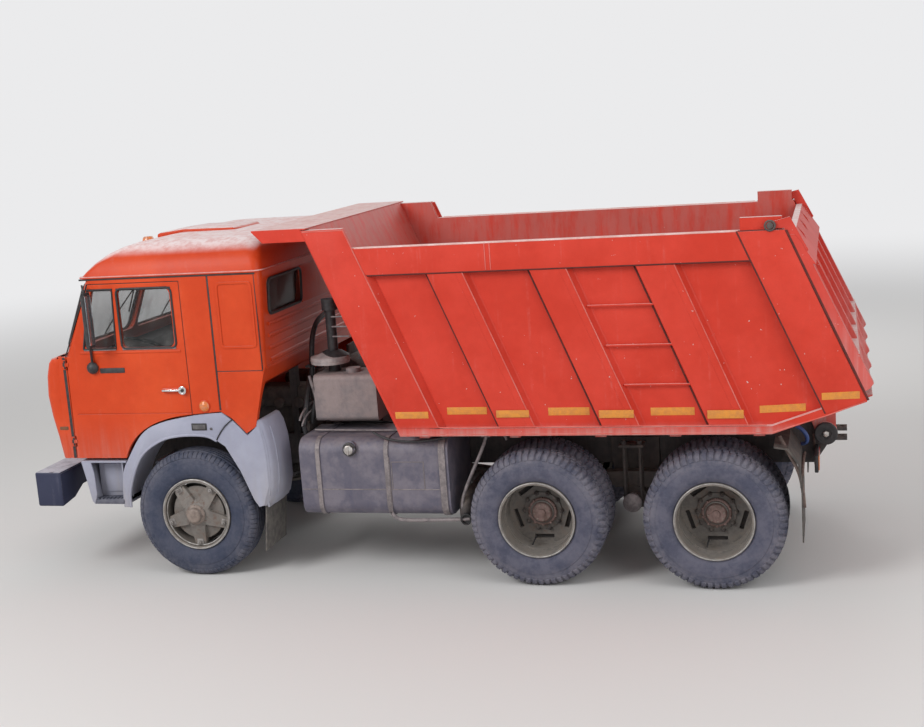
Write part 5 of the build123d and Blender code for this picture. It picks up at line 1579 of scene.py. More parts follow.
@dataclass
class Cab:
    """The cab's roof, nose, bumper, mirrors, window rubbers and side trim."""

    half: float = 1170.0
    rear: float = -745.0
    sill: float = 1008.0
    belt: float = 1855.0
    gutter: float = 2484.0
    roof: float = 2745.0
    hinge: float = 1000.0
    door_line: float = 2436.0
    slot_levels: tuple[float, ...] = (1180, 1234, 1288, 1342, 1396)
    slot_height: float = 26.0
    main_window: tuple[Flat, Flat] = ((-10, 1910), (470, 2393))
    quarter_window: tuple[Flat, ...] = ((814, 1912), (722, 2393), (505, 2393), (523, 1912))
    rear_window: Flat = (2133, 2414)
    mirror_out: float = 150.0
    marker_places: tuple[float, ...] = (-420, 0, 420)

    def build(self) -> None:
        """Builds every cab piece."""
        self._roof()
        self._nose()
        self._bumper()
        self._windows()
        self._seams()
        self._door_trim()
        self._mirrors()
        self._rear_wall()
        self._front_trim()

    def _roof(self) -> None:
        """Models the high roof with its gutter and the raised hatch."""
        back = self.rear
        rings = (
            plan(792, back - 29, self.half - 2, 70, self.gutter + 2),
            plan(746, back - 26, self.half - 10, 72, 2530),
            plan(672, back - 21, self.half - 26, 84, 2594),
            plan(580, back - 2, self.half - 74, 100, 2658),
            plan(486, back + 24, self.half - 140, 110, 2702),
            plan(390, back + 66, self.half - 210, 116, 2730),
            plan(280, back + 130, self.half - 310, 120, self.roof),
        )
        roof = Bench.loft(rings)
        gutter = Bench.loft((
            plan(803, back - 40, self.half + 10, 78, self.gutter - 1),
            plan(805, back - 42, self.half + 12, 80, self.gutter + 8),
            plan(797, back - 34, self.half + 3, 76, self.gutter + 15),
        ))
        hatch = Bench.plate(
            [
                (x, -262, z)
                for x, z in (
                    (-205, 2741), (-176, 2766), (286, 2770), (500, 2748), (528, 2736), (532, 2706),
                    (470, 2694), (286, 2738),
                )
            ],
            (0.0, 524.0, 0.0), 11.0,
        )
        piece = Bench.finish(Bench.join(roof, gutter, hatch), "roof_skin", ROOF, slot="cab_paint", angle=24.0)
        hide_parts("cab_roof")

    def _nose(self) -> None:
        """Models the bulging nose from the bumper to the windscreen, with the slots of its grille."""
        back = self.hinge + 18
        nose = Bench.loft((
            plan(1138, back, self.half, 58, self.sill),
            plan(1168, back, self.half, 66, 1180),
            plan(1206, back, self.half, 74, 1360),
            plan(1226, back, self.half, 78, 1530),
            plan(1212, back, self.half, 76, 1690),
            plan(1180, back, self.half, 70, 1800),
            plan(1150, back, self.half - 4, 62, 1836),
            plan(1072, back, self.half - 14, 50, self.belt + 4),
        ))
        for level in self.slot_levels:
            for low, high in ((20, 690), (-690, -20)):
                nose = Bench.cut(
                    nose, Bench.block((1120, low, level), (1300, high, level + self.slot_height))
                )
        piece = Bench.finish(nose, "nose_skin", ORANGE, slot="cab_paint", angle=24.0)
        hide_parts("nose_panel")
        grille = Bench.join(
            Bench.block((1096, -712, 1160), (1130, 712, 1440), 4.0),
            *(Bench.block((1218, y - 9, 1150), (1228, y + 9, 1448), 3.0) for y in (-702, 0, 702)),
        )
        Bench.finish(grille, "grille_back", TRIM)

    def _bumper(self) -> None:
        """Models the folded bumper with the recesses of its lamps, closed ends and towing eyes."""
        low, high, front, half = 601, 892, 1399, 1199
        outer = Bench.block((1161, -half, low), (front, half, high), 16.0, 3)
        outer = Bench.cut(
            outer, Bench.block((1100, -half + 12, low - 30), (front - 14, half - 12, high - 12))
        )
        for side in (1, -1):
            near, far = sorted((side * 820, side * 1000))
            outer = Bench.cut(outer, Bench.block((1300, near, 690), (1500, far, 830)))
        parts = [outer]
        for side in (1, -1):
            corners = (
                (700, high - 14), (half - 6, high - 14), (half - 6, low + 6), (1010, low + 30), (700, 790)
            )
            parts.append(Bench.plate([(1162, side * y, z) for y, z in corners], (10.0, 0.0, 0.0), 2.0))
            parts.append(Bench.block((1040, side * 390 - 38, 790), (front - 14, side * 390 + 38, 856), 4.0))
            parts.append(Bench.rod((front - 60, side * 480, 700), (front - 8, side * 480, 700), 34, 6.0))
        parts.append(Bench.block((1230, half - 30, high - 1), (1262, half - 4, high + 2), 1.0))
        piece = Bench.finish(Bench.join(*parts), "bumper_skin", BUMPER, slot="trim", angle=30.0)
        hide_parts("bumper")

    def _windows(self) -> None:
        """Lays the rubbers round the door windows, black bands in the top of each opening that are painted
        shade under its upper frame, and the lower chrome-grey channel of each.
        """
        y = self.half + 1
        rubbers = Bench.join(
            Bench.tube(side_ring(rounded(*self.main_window, 40), y), 9, False),
            Bench.tube(side_ring(self.quarter_window, y), 9, False),
            # black bands in the tops of the openings: painted shade under the upper frame
            Bench.block((-8, y - 30, 2380), (470, y + 2, 2398), 3.0),
            Bench.block((505, y - 30, 2380), (724, y + 2, 2398), 3.0),
        )
        Bench.pair(rubbers, "window_rubber", SEAL, "door")
        sills = Bench.join(
            Bench.block((-6, y - 4, 1900), (466, y + 6, 1914), 3.0),
            Bench.block((526, y - 4, 1900), (812, y + 6, 1914), 3.0),
        )
        Bench.pair(sills, "window_sill", CHROME_OLD, "door")

    def _seams(self) -> None:
        """Fills the open joints between the panels and the line under the gutter with black strips, which are
        painted shade in these gaps.
        """
        y = self.half
        low, high = self.sill + 4, self.door_line
        parts = [
            Bench.block((-337, y - 14, 1394), (-323, y - 1, self.gutter - 10), 1.5),
            Bench.block((-725, y - 7, 1716), (-719, y + 1, self.gutter - 14), 1.0),
            Bench.block((-722, y - 7, 1707), (-340, y + 1, 1713), 1.0),
            Bench.block((-84, y - 14, 1368), (-80, y - 2, high), 1.0),
            Bench.block((-82, y - 14, high - 1), (720, y - 3, high + 3), 1.0),
            # the black strip under the gutter is painted shadow
            Bench.block((self.rear + 10, y - 3, self.gutter - 16), (786, y + 4, self.gutter - 2), 3.0),
        ]
        # the black strip in the gap before the door is painted shade
        gap_line = ((1001, low), (1025, low), (1025, 1850), (1001, 1850))
        gap = Bench.plate([(x, y - 16, z) for x, z in gap_line], (0, 17.5, 0))
        edge_line = ((990, 1856), (998, 1856), (728, high + 4), (719, high + 4))
        edge = Bench.plate([(x, y - 14, z) for x, z in edge_line], (0, 10.0, 0))
        piece = Bench.both(Bench.join(*parts, gap, edge))
        Bench.finish(piece, "panel_rubber", SEAL)

    def _door_trim(self) -> None:
        """Models the door handles and locks, the side lamps with their rims, and the hinges."""
        y = self.half
        lever = Bench.loft([
            [(x, y + depth + across, z) for across, z in ((0, 1560), (0, 1576), (8, 1576), (8, 1560))]
            for x, depth in ((148, 24), (60, 26), (-8, 24))
        ], 3.0)
        dish = Bench.turned([(0, 0), (0, 34), (4, 34), (6, 28), (3, 20), (3, 0)], (-28, y + 24, 1567), 32)
        button = Bench.rod((-28, y + 24, 1567), (-28, y + 33, 1567), 13, 2.5)
        Bench.pair(Bench.join(lever, dish), "door_handle", CHROME, "door")
        Bench.pair(button, "door_lock", SEAL, "door")
        lamp = Bench.turned(
            [(-1, 0), (-1, 43), (8, 43), (12, 38), (20, 30), (25, 14), (26, 0)], (-195, y, 1432), 36
        )
        Bench.finish(Bench.both(lamp), "side_lamp", AMBER, slot="lamp_lens")
        rim = Bench.ring((-195, y + 4, 1432), 44, 5, 36)
        Bench.finish(Bench.both(rim), "side_lamp_rim", ORANGE, slot="cab_paint")
        hinges = [Bench.rod((1004, y + 4, z - 34), (1004, y + 4, z + 34), 9, 2.0) for z in (1150, 1790)]
        Bench.finish(Bench.both(Bench.join(*hinges)), "hinge_barrel", SEAL)
        lamp = Bench.block((1044, y - 14, 1246), (1124, y + 3, 1276), 5.0)
        Bench.finish(Bench.both(lamp), "nose_lamp", BROWN_LENS, slot="lamp_lens")

    def _mirrors(self) -> None:
        """Models the narrow mirror heads on their thin arms and ball mounts."""
        y = self.half + self.mirror_out
        head = Bench.loft([
            [(x, across, z) for x, across in rounded((640, y - 52), (676 - inset, y + 54), 16, 3)]
            for z, inset in ((1950, 8), (1968, 0), (2372, 0), (2390, 8))
        ], 4.0)
        arms = Bench.join(
            Bench.tube(
                [
                    (664, y, 2376), (668, y, 2426), (700, y - 40, 2440), (742, y - 112, 2440),
                    (748, y - 128, 2400), (744, y - 136, 2100), (742, y - 136, 1900),
                ],
                8,
            ),
            Bench.tube(
                [
                    (668, y, 1960), (676, y - 10, 1930), (706, y - 70, 1900), (738, y - 118, 1840),
                    (742, y - 126, 1800),
                ],
                8,
            ),
            Bench.tube([(676, y - 10, 2180), (742, y - 134, 2180)], 7),
        )
        ball = Bench.turned(
            [(-14, 0), (-14, 44), (0, 50), (14, 46), (30, 30), (38, 12), (40, 0)],
            (748, self.half + 12, 1762), 32,
        )
        piece = Bench.join(head, arms, ball, Bench.rod((742, y - 134, 1776), (742, y - 134, 1960), 8))
        made = Bench.pair(piece, "mirror_head", TRIM, "door", "trim", 30.0)
        for mirror, side in zip(made, Side):
            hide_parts(f"mirror_{side.word}")
        glass = Bench.block((636, y - 42, 1972), (641, y + 44, 2368), 2.0)
        Bench.pair(glass, "mirror_glass", MIRROR_GLASS, "door")
        badge = Bench.block((470, self.half - 2, 1715), (690, self.half + 6, 1757), 4.0)
        Bench.pair(badge, "door_plate", TRIM, "door")

    def _rear_wall(self) -> None:
        """Closes the middle of the rear wall between its two small windows, with their rubbers."""
        x = self.rear - 22
        middle = Bench.loft((
            [(x - 8, y, z) for y, z in rounded((-352, 2116), (352, 2432), 30)],
            [(x + 6, y, z) for y, z in rounded((-352, 2116), (352, 2432), 30)],
        ), 3.0)
        Bench.finish(middle, "rear_wall_panel", ORANGE, slot="cab_paint")
        routes = []
        foot, head = self.rear_window
        for low, high in ((352, 1040), (-1040, -352)):
            corners = rounded((low, foot), (high, head), 48)
            ring = [(x - 4 - 30 * (z - foot) / (head - foot) * 0.45, y, z) for y, z in corners]
            routes.append(Bench.tube(ring + ring[:1], 11, False))
        Bench.finish(Bench.join(*routes), "rear_window_rubber", SEAL)

    def _front_trim(self) -> None:
        """Models the windscreen rubbers, wipers, marker lamps and the roof's small dome lamp."""
        rubbers = []
        for sign in (1, -1):
            corners = rounded((30, 1905), (1030, 2428), 55)
            ring = [(self._screen_x(z) + 2, sign * y, z) for y, z in corners]
            rubbers.append(Bench.tube(ring + ring[:1], 12, False))
        Bench.finish(Bench.join(*rubbers), "screen_rubber", SEAL)
        wipers = []
        for y in (-640, 420):
            foot, tip = (self._screen_x(1884) + 14, y, 1884), (self._screen_x(2250) + 16, y - 330, 2250)
            wipers.append(Bench.tube([foot, (foot[0] + 14, y - 40, 1930), tip], 6))
            blade = [(self._screen_x(z) + 9, y - across, z) for across, z in ((350, 2050), (310, 2420))]
            wipers.append(Bench.tube(blade, 7, False))
            wipers.append(Bench.rod((foot[0] - 20, y, 1878), (foot[0] + 6, y, 1890), 16, 3.0))
        Bench.finish(Bench.join(*wipers), "wipers", TRIM)
        markers = []
        for y in self.marker_places:
            markers.append(Bench.block((690, y - 42, 2588), (742, y + 42, 2626), 10.0, 3))
        markers.append(Bench.rod((500, 480, 2690), (500, 480, 2742), 54, 12.0, 32, 40))
        Bench.finish(Bench.join(*markers), "marker_lamps", AMBER, slot="lamp_lens")

    def _screen_x(self, z: float) -> float:
        """Outer face of the windscreen at a level."""
        return 1058 - (z - self.belt) / (self.gutter - self.belt) * 262


@dataclass
class Wings:
    """The grey front wings: arch skin, tunnel, folded rear part, step well, lamp and mud flap."""

    face: float = 1170.0
    inner: float = 730.0
    outer_line: tuple[Flat, ...] = (
        (624, 591), (616, 760), (590, 900), (537, 998), (391, 1203), (215, 1296), (-95, 1356), (-338, 1376),
    )
    inner_line: tuple[Flat, ...] = (
        (560, 591), (541, 757), (425, 1009), (243, 1143), (55, 1189), (-165, 1188), (-268, 1146),
    )
    rear_line: tuple[Flat, ...] = ((-268, 1146), (-335, 1100), (-445, 900), (-540, 660), (-578, 600))
    rear_deep: tuple[Flat, ...] = ((-300, 1156), (-374, 1108), (-556, 908), (-640, 664), (-648, 600))
    tunnel_centre: Flat = (-15.0, 560.0)
    tunnel_size: Flat = (632.0, 657.0)
    sheet: float = 12.0
    skin: float = 28.0
    arm_places: tuple[Flat, ...] = ((-552, 650), (512, 850))
    frame_side: float = 430.0

    def build(self) -> None:
        """Builds the wings' pieces."""
        parts = [self._skin(), self._tunnel(), self._rear_part(), *self._well()]
        for x, z in self.arm_places:
            parts.append(Bench.rod((x, self.frame_side, z), (x, self.inner + self.sheet, z), 18))
        piece = Bench.finish(Bench.both(Bench.join(*parts)), "wing_skin", GREY, slot="grey_paint", angle=30.0)
        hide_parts("front_fenders")
        self._trim()

    def _skin(self) -> Mesh:
        """Models the arch band with its rolled inner lip and outer edge.

        Returns:
            The band with its lip.
        """
        outer = smooth_line(self.outer_line)
        inner = smooth_line(self.inner_line)
        seam = [(-416, 1314), (-352, 1272), (-304, 1214)]
        outline = [(x, self.face - self.skin, z) for x, z in outer + seam + inner[::-1]]
        band = Bench.plate(outline, (0.0, self.skin, 0.0), 7.0)
        lip = Bench.tube([(x, self.face - 4, z) for x, z in inner], 11, False)
        return Bench.join(band, lip)

    def _tunnel(self) -> Mesh:
        """Models the sheet that closes the arch inwards over the wheel.

        Returns:
            The sheet.
        """
        turns = [radians(3.0 + 174.0 * step / 40) for step in range(41)]
        (x, z), (long, high), sheet = self.tunnel_centre, self.tunnel_size, self.sheet
        line = [(x + long * cos(turn), z + high * sin(turn)) for turn in turns]
        raised = [(x + (long + sheet) * cos(turn), z + (high + sheet) * sin(turn)) for turn in turns]
        outline = [(x, self.inner, z) for x, z in line + raised[::-1]]
        return Bench.plate(outline, (0.0, self.face - 24 - self.inner, 0.0))

    def _rear_part(self) -> Mesh:
        """Models the rear part, whose outer face turns round to the back in two folds.

        Returns:
            The part with its folds.
        """
        rear = [
            (-664, 592), (-728, 660), (-762, 790), (-762, 1000), (-750, 1150), (-726, 1256), (-694, 1316),
            (-668, 1326),
        ]
        top = [(-644, 1290), (-536, 1188), (-470, 1262), (-418, 1312), (-351, 1270)]
        rings = []
        for y, back in ((860, 0), (1000, 4), (1070, 16), (1120, 40), (1140, 52), (1144, 58), (1166, 88)):
            share = back / 88
            moved_rear = [
                (x + back * min(1.0, (-600 - x) / 130), z + share * (22 if z < 700 else -20)) for x, z in rear
            ]
            turned_top = [(-644 + 40 * share, 1290 - 44 * share), *top[1:]]
            front = [(-303, 1212), *(self.rear_line if y > self.face - self.skin else self.rear_deep)]
            rings.append([(x, y, z) for x, z in front + moved_rear + turned_top])
        part = Bench.loft(rings)
        outer = [
            (-668, 1150, 690), (-690, 1150, 800), (-690, 1150, 1000), (-678, 1150, 1140), (-654, 1152, 1226)
        ]
        inner = [
            (-716, 1096, 700), (-744, 1088, 800), (-744, 1088, 1000), (-730, 1090, 1150), (-706, 1094, 1250)
        ]
        return Bench.join(part, Bench.tube(outer, 5), Bench.tube(inner, 5))

    def _well(self) -> list[Mesh]:
        """Models the step well: slanted front strip, back panel, roof and inner wall.

        Returns:
            The well's panels.
        """
        face = self.face
        strip = [
            (970, 980), (884, 980), (862, 880), (858, 700), (872, 652), (886, 616), (906, 640), (930, 780)
        ]
        return [
            Bench.plate([(x, face - 12, z) for x, z in strip], (0.0, 12.0, 0.0), 3.0),
            Bench.plate(
                [(970, 760, 980), (954, 760, 980), (872, 760, 616), (888, 760, 616)], (0.0, face - 766, 0.0),
                3.0,
            ),
            Bench.block((600, 1030, 640), (884, 1042, 980), 3.0),
            Bench.block((560, 760, 966), (968, face - 2, 981), 3.0),
            Bench.block((600, 760, 616), (886, 772, 975), 3.0),
            Bench.block((604, 760, 616), (616, face - 24, 975)),
            Bench.block((640, 1036, 690), (838, 1050, 930), 6.0),
        ]

    def _trim(self) -> None:
        """Models the tread, the slot lamp, the seam's rubber and the flap."""
        face = self.face
        tread = Bench.plate(
            [(604, 800, 616), (888, 800, 616), (884, 800, 652), (604, 800, 662)], (0.0, face - 800, 0.0), 6.0,
        )
        ribs = [
            Bench.block((612 + 34 * step, 1108, 650), (626 + 34 * step, face - 6, 666), 2.0)
            for step in range(8)
        ]
        piece = Bench.both(Bench.join(tread, *ribs))
        Bench.finish(piece, "step_tread", TREAD)
        frame_ring = Bench.block((-196, face - 2, 1234), (-64, face + 6, 1292), 5.0)
        Bench.finish(Bench.both(frame_ring), "wing_lamp_frame", SEAL)
        lens = Bench.block((-184, face + 5, 1244), (-76, face + 9, 1282), 3.0)
        lens = Bench.join(lens, Bench.rod((-232, face - 2, 1246), (-232, face + 6, 1246), 11, 2.0))
        Bench.finish(Bench.both(lens), "wing_lamp", LAMP_GREY)
        seam = Bench.tube(
            [(-266, face - 1, 1150), (-302, face, 1214), (-351, face, 1273), (-415, face, 1316)], 5
        )
        Bench.finish(Bench.both(seam), "wing_seam", SEAL)
        corners = ((-636, 640), (-624, 640), (-580, 226), (-592, 226))
        flap = Bench.plate([(x, 720, z) for x, z in corners], (0.0, 420.0, 0.0), 3.0)
        rail = Bench.block((-642, 716, 606), (-618, 1144, 640), 3.0)
        Bench.finish(Bench.both(Bench.join(flap, rail)), "front_flaps", FLAP)


@dataclass
class Underbody:
    """Engine, hoses and small parts behind and under the cab, and the fuel tank's fittings."""

    tank_face: float = 1130.0
    filler: Flat = (-1373.0, 1066.0)
    bands: tuple[Flat, ...] = ((-1098, 17), (-1664, 17), (-2112, 26))
    dark_routes: tuple[Route, ...] = (
        (24, ((-880, 820, 1180), (-905, 790, 1320), (-900, 700, 1500), (-880, 560, 1560))),
        (17, ((-930, 760, 1190), (-960, 780, 1330), (-985, 720, 1420))),
        (
            22,
            ((-890, 600, 1200), (-905, 600, 1700), (-900, 520, 1900), (-880, 300, 2000), (-880, -200, 2000)),
        ),
        (20, ((-905, 880, 1190), (-920, 860, 1020), (-900, 700, 960), (-860, 430, 950))),
        (18, ((-1010, 480, 1110), (-1300, 486, 1130), (-1600, 480, 1110), (-2300, 470, 1060))),
    )
    bright_routes: tuple[Route, ...] = (
        (9, ((-880, 900, 1240), (-900, 880, 1330), (-905, 700, 1345), (-900, 440, 1340))),
        (7, ((-905, 920, 1200), (-925, 900, 1290), (-930, 760, 1300), (-920, 500, 1290))),
        (8, ((-1005, 900, 1165), (-1400, 905, 1160), (-1700, 900, 1152), (-2100, 890, 1160))),
    )
    bar_routes: tuple[Route, ...] = (
        (
            15,
            (
                (-1664, 1100, 540), (-1700, 1102, 486), (-1760, 1104, 482), (-2180, 1104, 492),
                (-2290, 1090, 496),
            ),
        ),
        (
            13,
            (
                (-2236, 1070, 500), (-2226, 1068, 590), (-2240, 1064, 680), (-2340, 1040, 890),
                (-2450, 1010, 1120), (-2456, 1006, 1190),
            ),
        ),
        (10, ((-2560, 1000, 1190), (-2590, 1004, 1140), (-2600, 1004, 1100))),
    )
    drum_place: Flat = (-1092.0, 650.0)

    def build(self) -> None:
        """Builds the pieces between the axles."""
        self._engine()
        self._hoses()
        self._tank()
        self._intake()

    def _engine(self) -> None:
        """Models the engine's rear end with its covers, bell housing and gearbox."""
        parts = [
            Bench.block((-830, -330, 760), (240, 330, 1330), 40.0, 3),
            Bench.block((-800, -420, 1250), (180, -160, 1420), 40.0, 3),
            Bench.block((-800, 160, 1250), (180, 420, 1420), 40.0, 3),
            Bench.rod((-1010, 0, 960), (-820, 0, 960), 300, 14.0, 48, 235),
            Bench.block((-1480, -190, 760), (-1000, 190, 1130), 30.0, 3),
            Bench.block((-905, -760, 1120), (-865, 760, 1190), 6.0),
            Bench.block((-905, -700, 1180), (-880, -300, 1640), 8.0),
            Bench.block((-905, 180, 1180), (-880, 430, 1560), 8.0),
            Bench.rod((-940, -520, 1420), (-940, -120, 1420), 130, 20.0, 40),
        ]
        for step in range(5):
            parts.append(Bench.rod((-700 + 180 * step, 415, 1290), (-700 + 180 * step, 452, 1290), 46, 8.0))
        Bench.finish(Bench.join(*parts), "engine_covers", CAST, slot="casting")

    def _hoses(self) -> None:
        """Lays the hoses and pipes that show behind the cab, each on its clips."""
        dark = [Bench.tube(route, radius) for radius, route in self.dark_routes]
        for level in (1340, 1480, 1620):
            dark.append(Bench.block((-905, 566, level), (-860, 634, level + 18), 3.0))
        Bench.finish(Bench.join(*dark), "dark_hoses", TRIM)
        bright = [Bench.tube(route, radius) for radius, route in self.bright_routes]
        Bench.finish(Bench.join(*bright), "bright_pipes", STEEL_DUSTY)

    def _strap(self, x: float, half: float) -> Mesh:
        """Models one band that wraps the fuel tank.

        Args:
            x: its middle.
            half: half its width.

        Returns:
            The band.
        """
        outer = rounded((492, 509), (1140, 1150), 120, 6)
        inner = rounded((497, 514), (1135, 1145), 115, 6)
        start = len(outer) // 4
        turned_outer = outer[start:] + outer[:start]
        turned_inner = inner[start:] + inner[:start]
        outline = [(x - half, y, z) for y, z in turned_outer + turned_inner[::-1]]
        return Bench.plate(outline, (2 * half, 0.0, 0.0))

    def _tank(self) -> None:
        """Models the fuel tank's bands, weld lines, cap, top hose, lower bar and stay."""
        face = self.tank_face
        bands = [self._strap(*band) for band in self.bands]
        lines = [
            Bench.tube([(-950, face, 740), (-1300, face, 740), (-2080, face, 740)], 4, False),
            Bench.tube(
                [(-1700, face, 742), (-1700, face, 960), (-1960, face, 960), (-1960, face, 742)], 4, False
            ),
            Bench.tube([(-1684, face + 3, 560), (-1684, face + 3, 1000)], 4, False),
        ]
        piece = Bench.join(*bands, *lines)
        Bench.finish(piece, "tank_bands", STEEL_DUSTY, slot="tank_paint")
        x, z = self.filler
        seat = Bench.rod((x, face - 2, z), (x, face + 24, z), 56, 3.0, 32)
        Bench.finish(seat, "tank_cap_seat", OIL, slot="tank_paint")
        cap = Bench.turned([(20, 0), (20, 34), (32, 38), (44, 36), (50, 26), (52, 0)], (x, face, z), 32)
        grip = Bench.block((x - 7, face + 48, z - 36), (x + 7, face + 62, z + 36), 4.0)
        Bench.finish(Bench.join(cap, grip), "tank_cap", BRIGHT, slot="bright_steel")
        hose = Bench.tube(
            [
                (-1560, 1090, 1190), (-1640, 1118, 1150), (-1780, 1128, 1118), (-2000, 1126, 1122),
                (-2160, 1100, 1150), (-2300, 1050, 1170),
            ],
            9,
        )
        Bench.finish(hose, "tank_hose", TRIM)
        bar = [Bench.tube(route, radius) for radius, route in self.bar_routes]
        bar.insert(2, Bench.block((-2470, 985, 1120), (-2400, 1000, 1180), 3.0))
        Bench.finish(Bench.join(*bar), "tank_bar", STEEL_DUSTY, slot="bright_steel")
        outlet = Bench.turned(
            [(0, 36), (0, 46), (30, 46), (30, 36), (6, 36), (6, 0), (0, 0)], (-2268, 1092, 500), 28, 360
        )
        Bench.finish(outlet, "pipe_end", SEAL)

    def _intake(self) -> None:
        """Models the dusty drum under the intake and the slim pipe with its clips."""
        x, y = self.drum_place
        drum = Bench.join(
            Bench.rod((x, y, 1664), (x, y, 1722), 158, 8.0, 48),
            Bench.rod((x, y, 1718), (x, y, 1748), 150, 4.0, 48, 66),
            Bench.rod((x, y, 1690), (x, y, 1698), 162, 2.0, 48),
        )
        Bench.finish(drum, "intake_drum", PALE_DUST, slot="trim")
        pipe = [
            Bench.block((-1290, 700, 1880), (-1150, 712, 1892), 3.0),
            Bench.block((-1300, 700, 1960), (-1150, 712, 1972), 3.0),
            Bench.block((-1280, 700, 2040), (-1150, 712, 2052), 3.0),
            Bench.tube([(-980, 860, 1600), (-1004, 860, 1500), (-1010, 830, 1420), (-1000, 780, 1300)], 12),
        ]
        Bench.finish(Bench.join(*pipe), "intake_pipe", STEEL_DUSTY, slot="bright_steel")


@dataclass
class Tail:
    """Pivot covers, lamps, brackets and hose at the rear end, and parts between the rear axles."""

    pivot: Point = (-4955.0, 530.0, 1022.0)
    lamp_span: Flat = (500.0, 860.0)
    stays: tuple[Route, ...] = (
        (
            13,
            (
                (-4640, 1130, 1150), (-4650, 1134, 1120), (-4735, 1136, 955), (-4792, 1134, 840),
                (-4800, 1134, 620),
            ),
        ),
        (12, ((-4800, 660, 900), (-4790, 900, 902), (-4792, 1134, 860))),
        (9, ((-4862, 470, 1000), (-4874, 476, 900), (-4872, 476, 760))),
    )
    hose: Route = (
        15, ((-4740, 700, 1120), (-4790, 716, 1096), (-4832, 712, 1040), (-4820, 690, 980), (-4780, 660, 970))
    )
    spring_top: float = 966.0
    chamber_ahead: float = 190.0

    def build(self) -> None:
        """Builds the rear pieces."""
        x, y, z = self.pivot
        disc = Bench.turned(
            [(13, 0), (13, 80), (20, 86), (34, 86), (40, 78), (40, 40), (36, 36), (36, 0)], self.pivot, 40
        )
        Bench.finish(Bench.both(disc), "pivot_disc", TRIM)
        bolt = Bench.rod((x, y + 34, z), (x, y + 52, z), 24, 3.0, 6)
        Bench.finish(Bench.both(bolt), "pivot_bolt", BRIGHT, slot="bright_steel")
        self._brackets()
        self._lamps()
        self._bogie()

    def _brackets(self) -> None:
        """Models the bent rods that carry the rear guards, and the hanging stays."""
        rods = [Bench.tube(route, radius) for radius, route in self.stays]
        Bench.finish(Bench.both(Bench.join(*rods)), "guard_brackets", RUSTY)
        radius, route = self.hose
        Bench.finish(Bench.tube(route, radius), "blue_hose", HOSE)

    def _lamps(self) -> None:
        """Models the tail lamps on their brackets."""
        low, high = self.lamp_span
        shell = Bench.block((-4900, low, 800), (-4872, high, 930), 6.0)
        bracket = Bench.block((-4876, 430, 850), (-4860, low + 40, 890), 2.0)
        red = Bench.block((-4908, low + 14, 814), (-4898, low + 170, 916), 5.0)
        amber = Bench.block((-4908, low + 186, 814), (-4898, high - 14, 916), 5.0)
        Bench.finish(Bench.both(Bench.join(shell, bracket)), "tail_lamp_shells", TRIM)
        Bench.finish(Bench.both(red), "tail_lamp_red", RUBY, slot="lamp_lens")
        Bench.finish(Bench.both(amber), "tail_lamp_amber", AMBER, slot="lamp_lens")

    def _bogie(self) -> None:
        """Models the leaf clamps, brake chambers and pipes between the rear axles."""
        middle = (Axle.MIDDLE.behind + Axle.REAR.behind) / 2
        top, ahead = self.spring_top, self.chamber_ahead
        parts = []
        for x in (middle - 62, middle + 62):
            parts.append(Bench.tube([(x, 640, 470), (x, 640, 980)], 13, False))
            parts.append(Bench.tube([(x, 560, 470), (x, 560, 980)], 13, False))
            parts.append(Bench.rod((x, 640, top), (x, 640, top + 34), 22, 2.0, 6))
        parts.append(Bench.block((middle - 96, 530, top - 22), (middle + 96, 670, top), 4.0))
        for axle, sign in ((Axle.MIDDLE, 1), (Axle.REAR, -1)):
            x = axle.behind
            parts.append(Bench.rod((x + sign * ahead, 470, 640), (x + sign * ahead, 590, 640), 78, 14.0, 32))
            pipe = ((ahead, 520, 720), (ahead - 10, 500, 860), (ahead - 60, 470, 930))
            parts.append(Bench.tube([(x + sign * along, y, z) for along, y, z in pipe], 9))
        Bench.finish(Bench.both(Bench.join(*parts)), "bogie_clamps", CAST, slot="casting")
        profile = ((0, 0), (0, 60), (26, 74), (50, 74), (58, 62), (62, 30), (64, 0))
        cap = Bench.turned(profile, (middle, 690, AXLE_HEIGHT), 36)
        Bench.finish(Bench.both(cap), "trunnion_caps", STEEL_DUSTY, slot="casting")


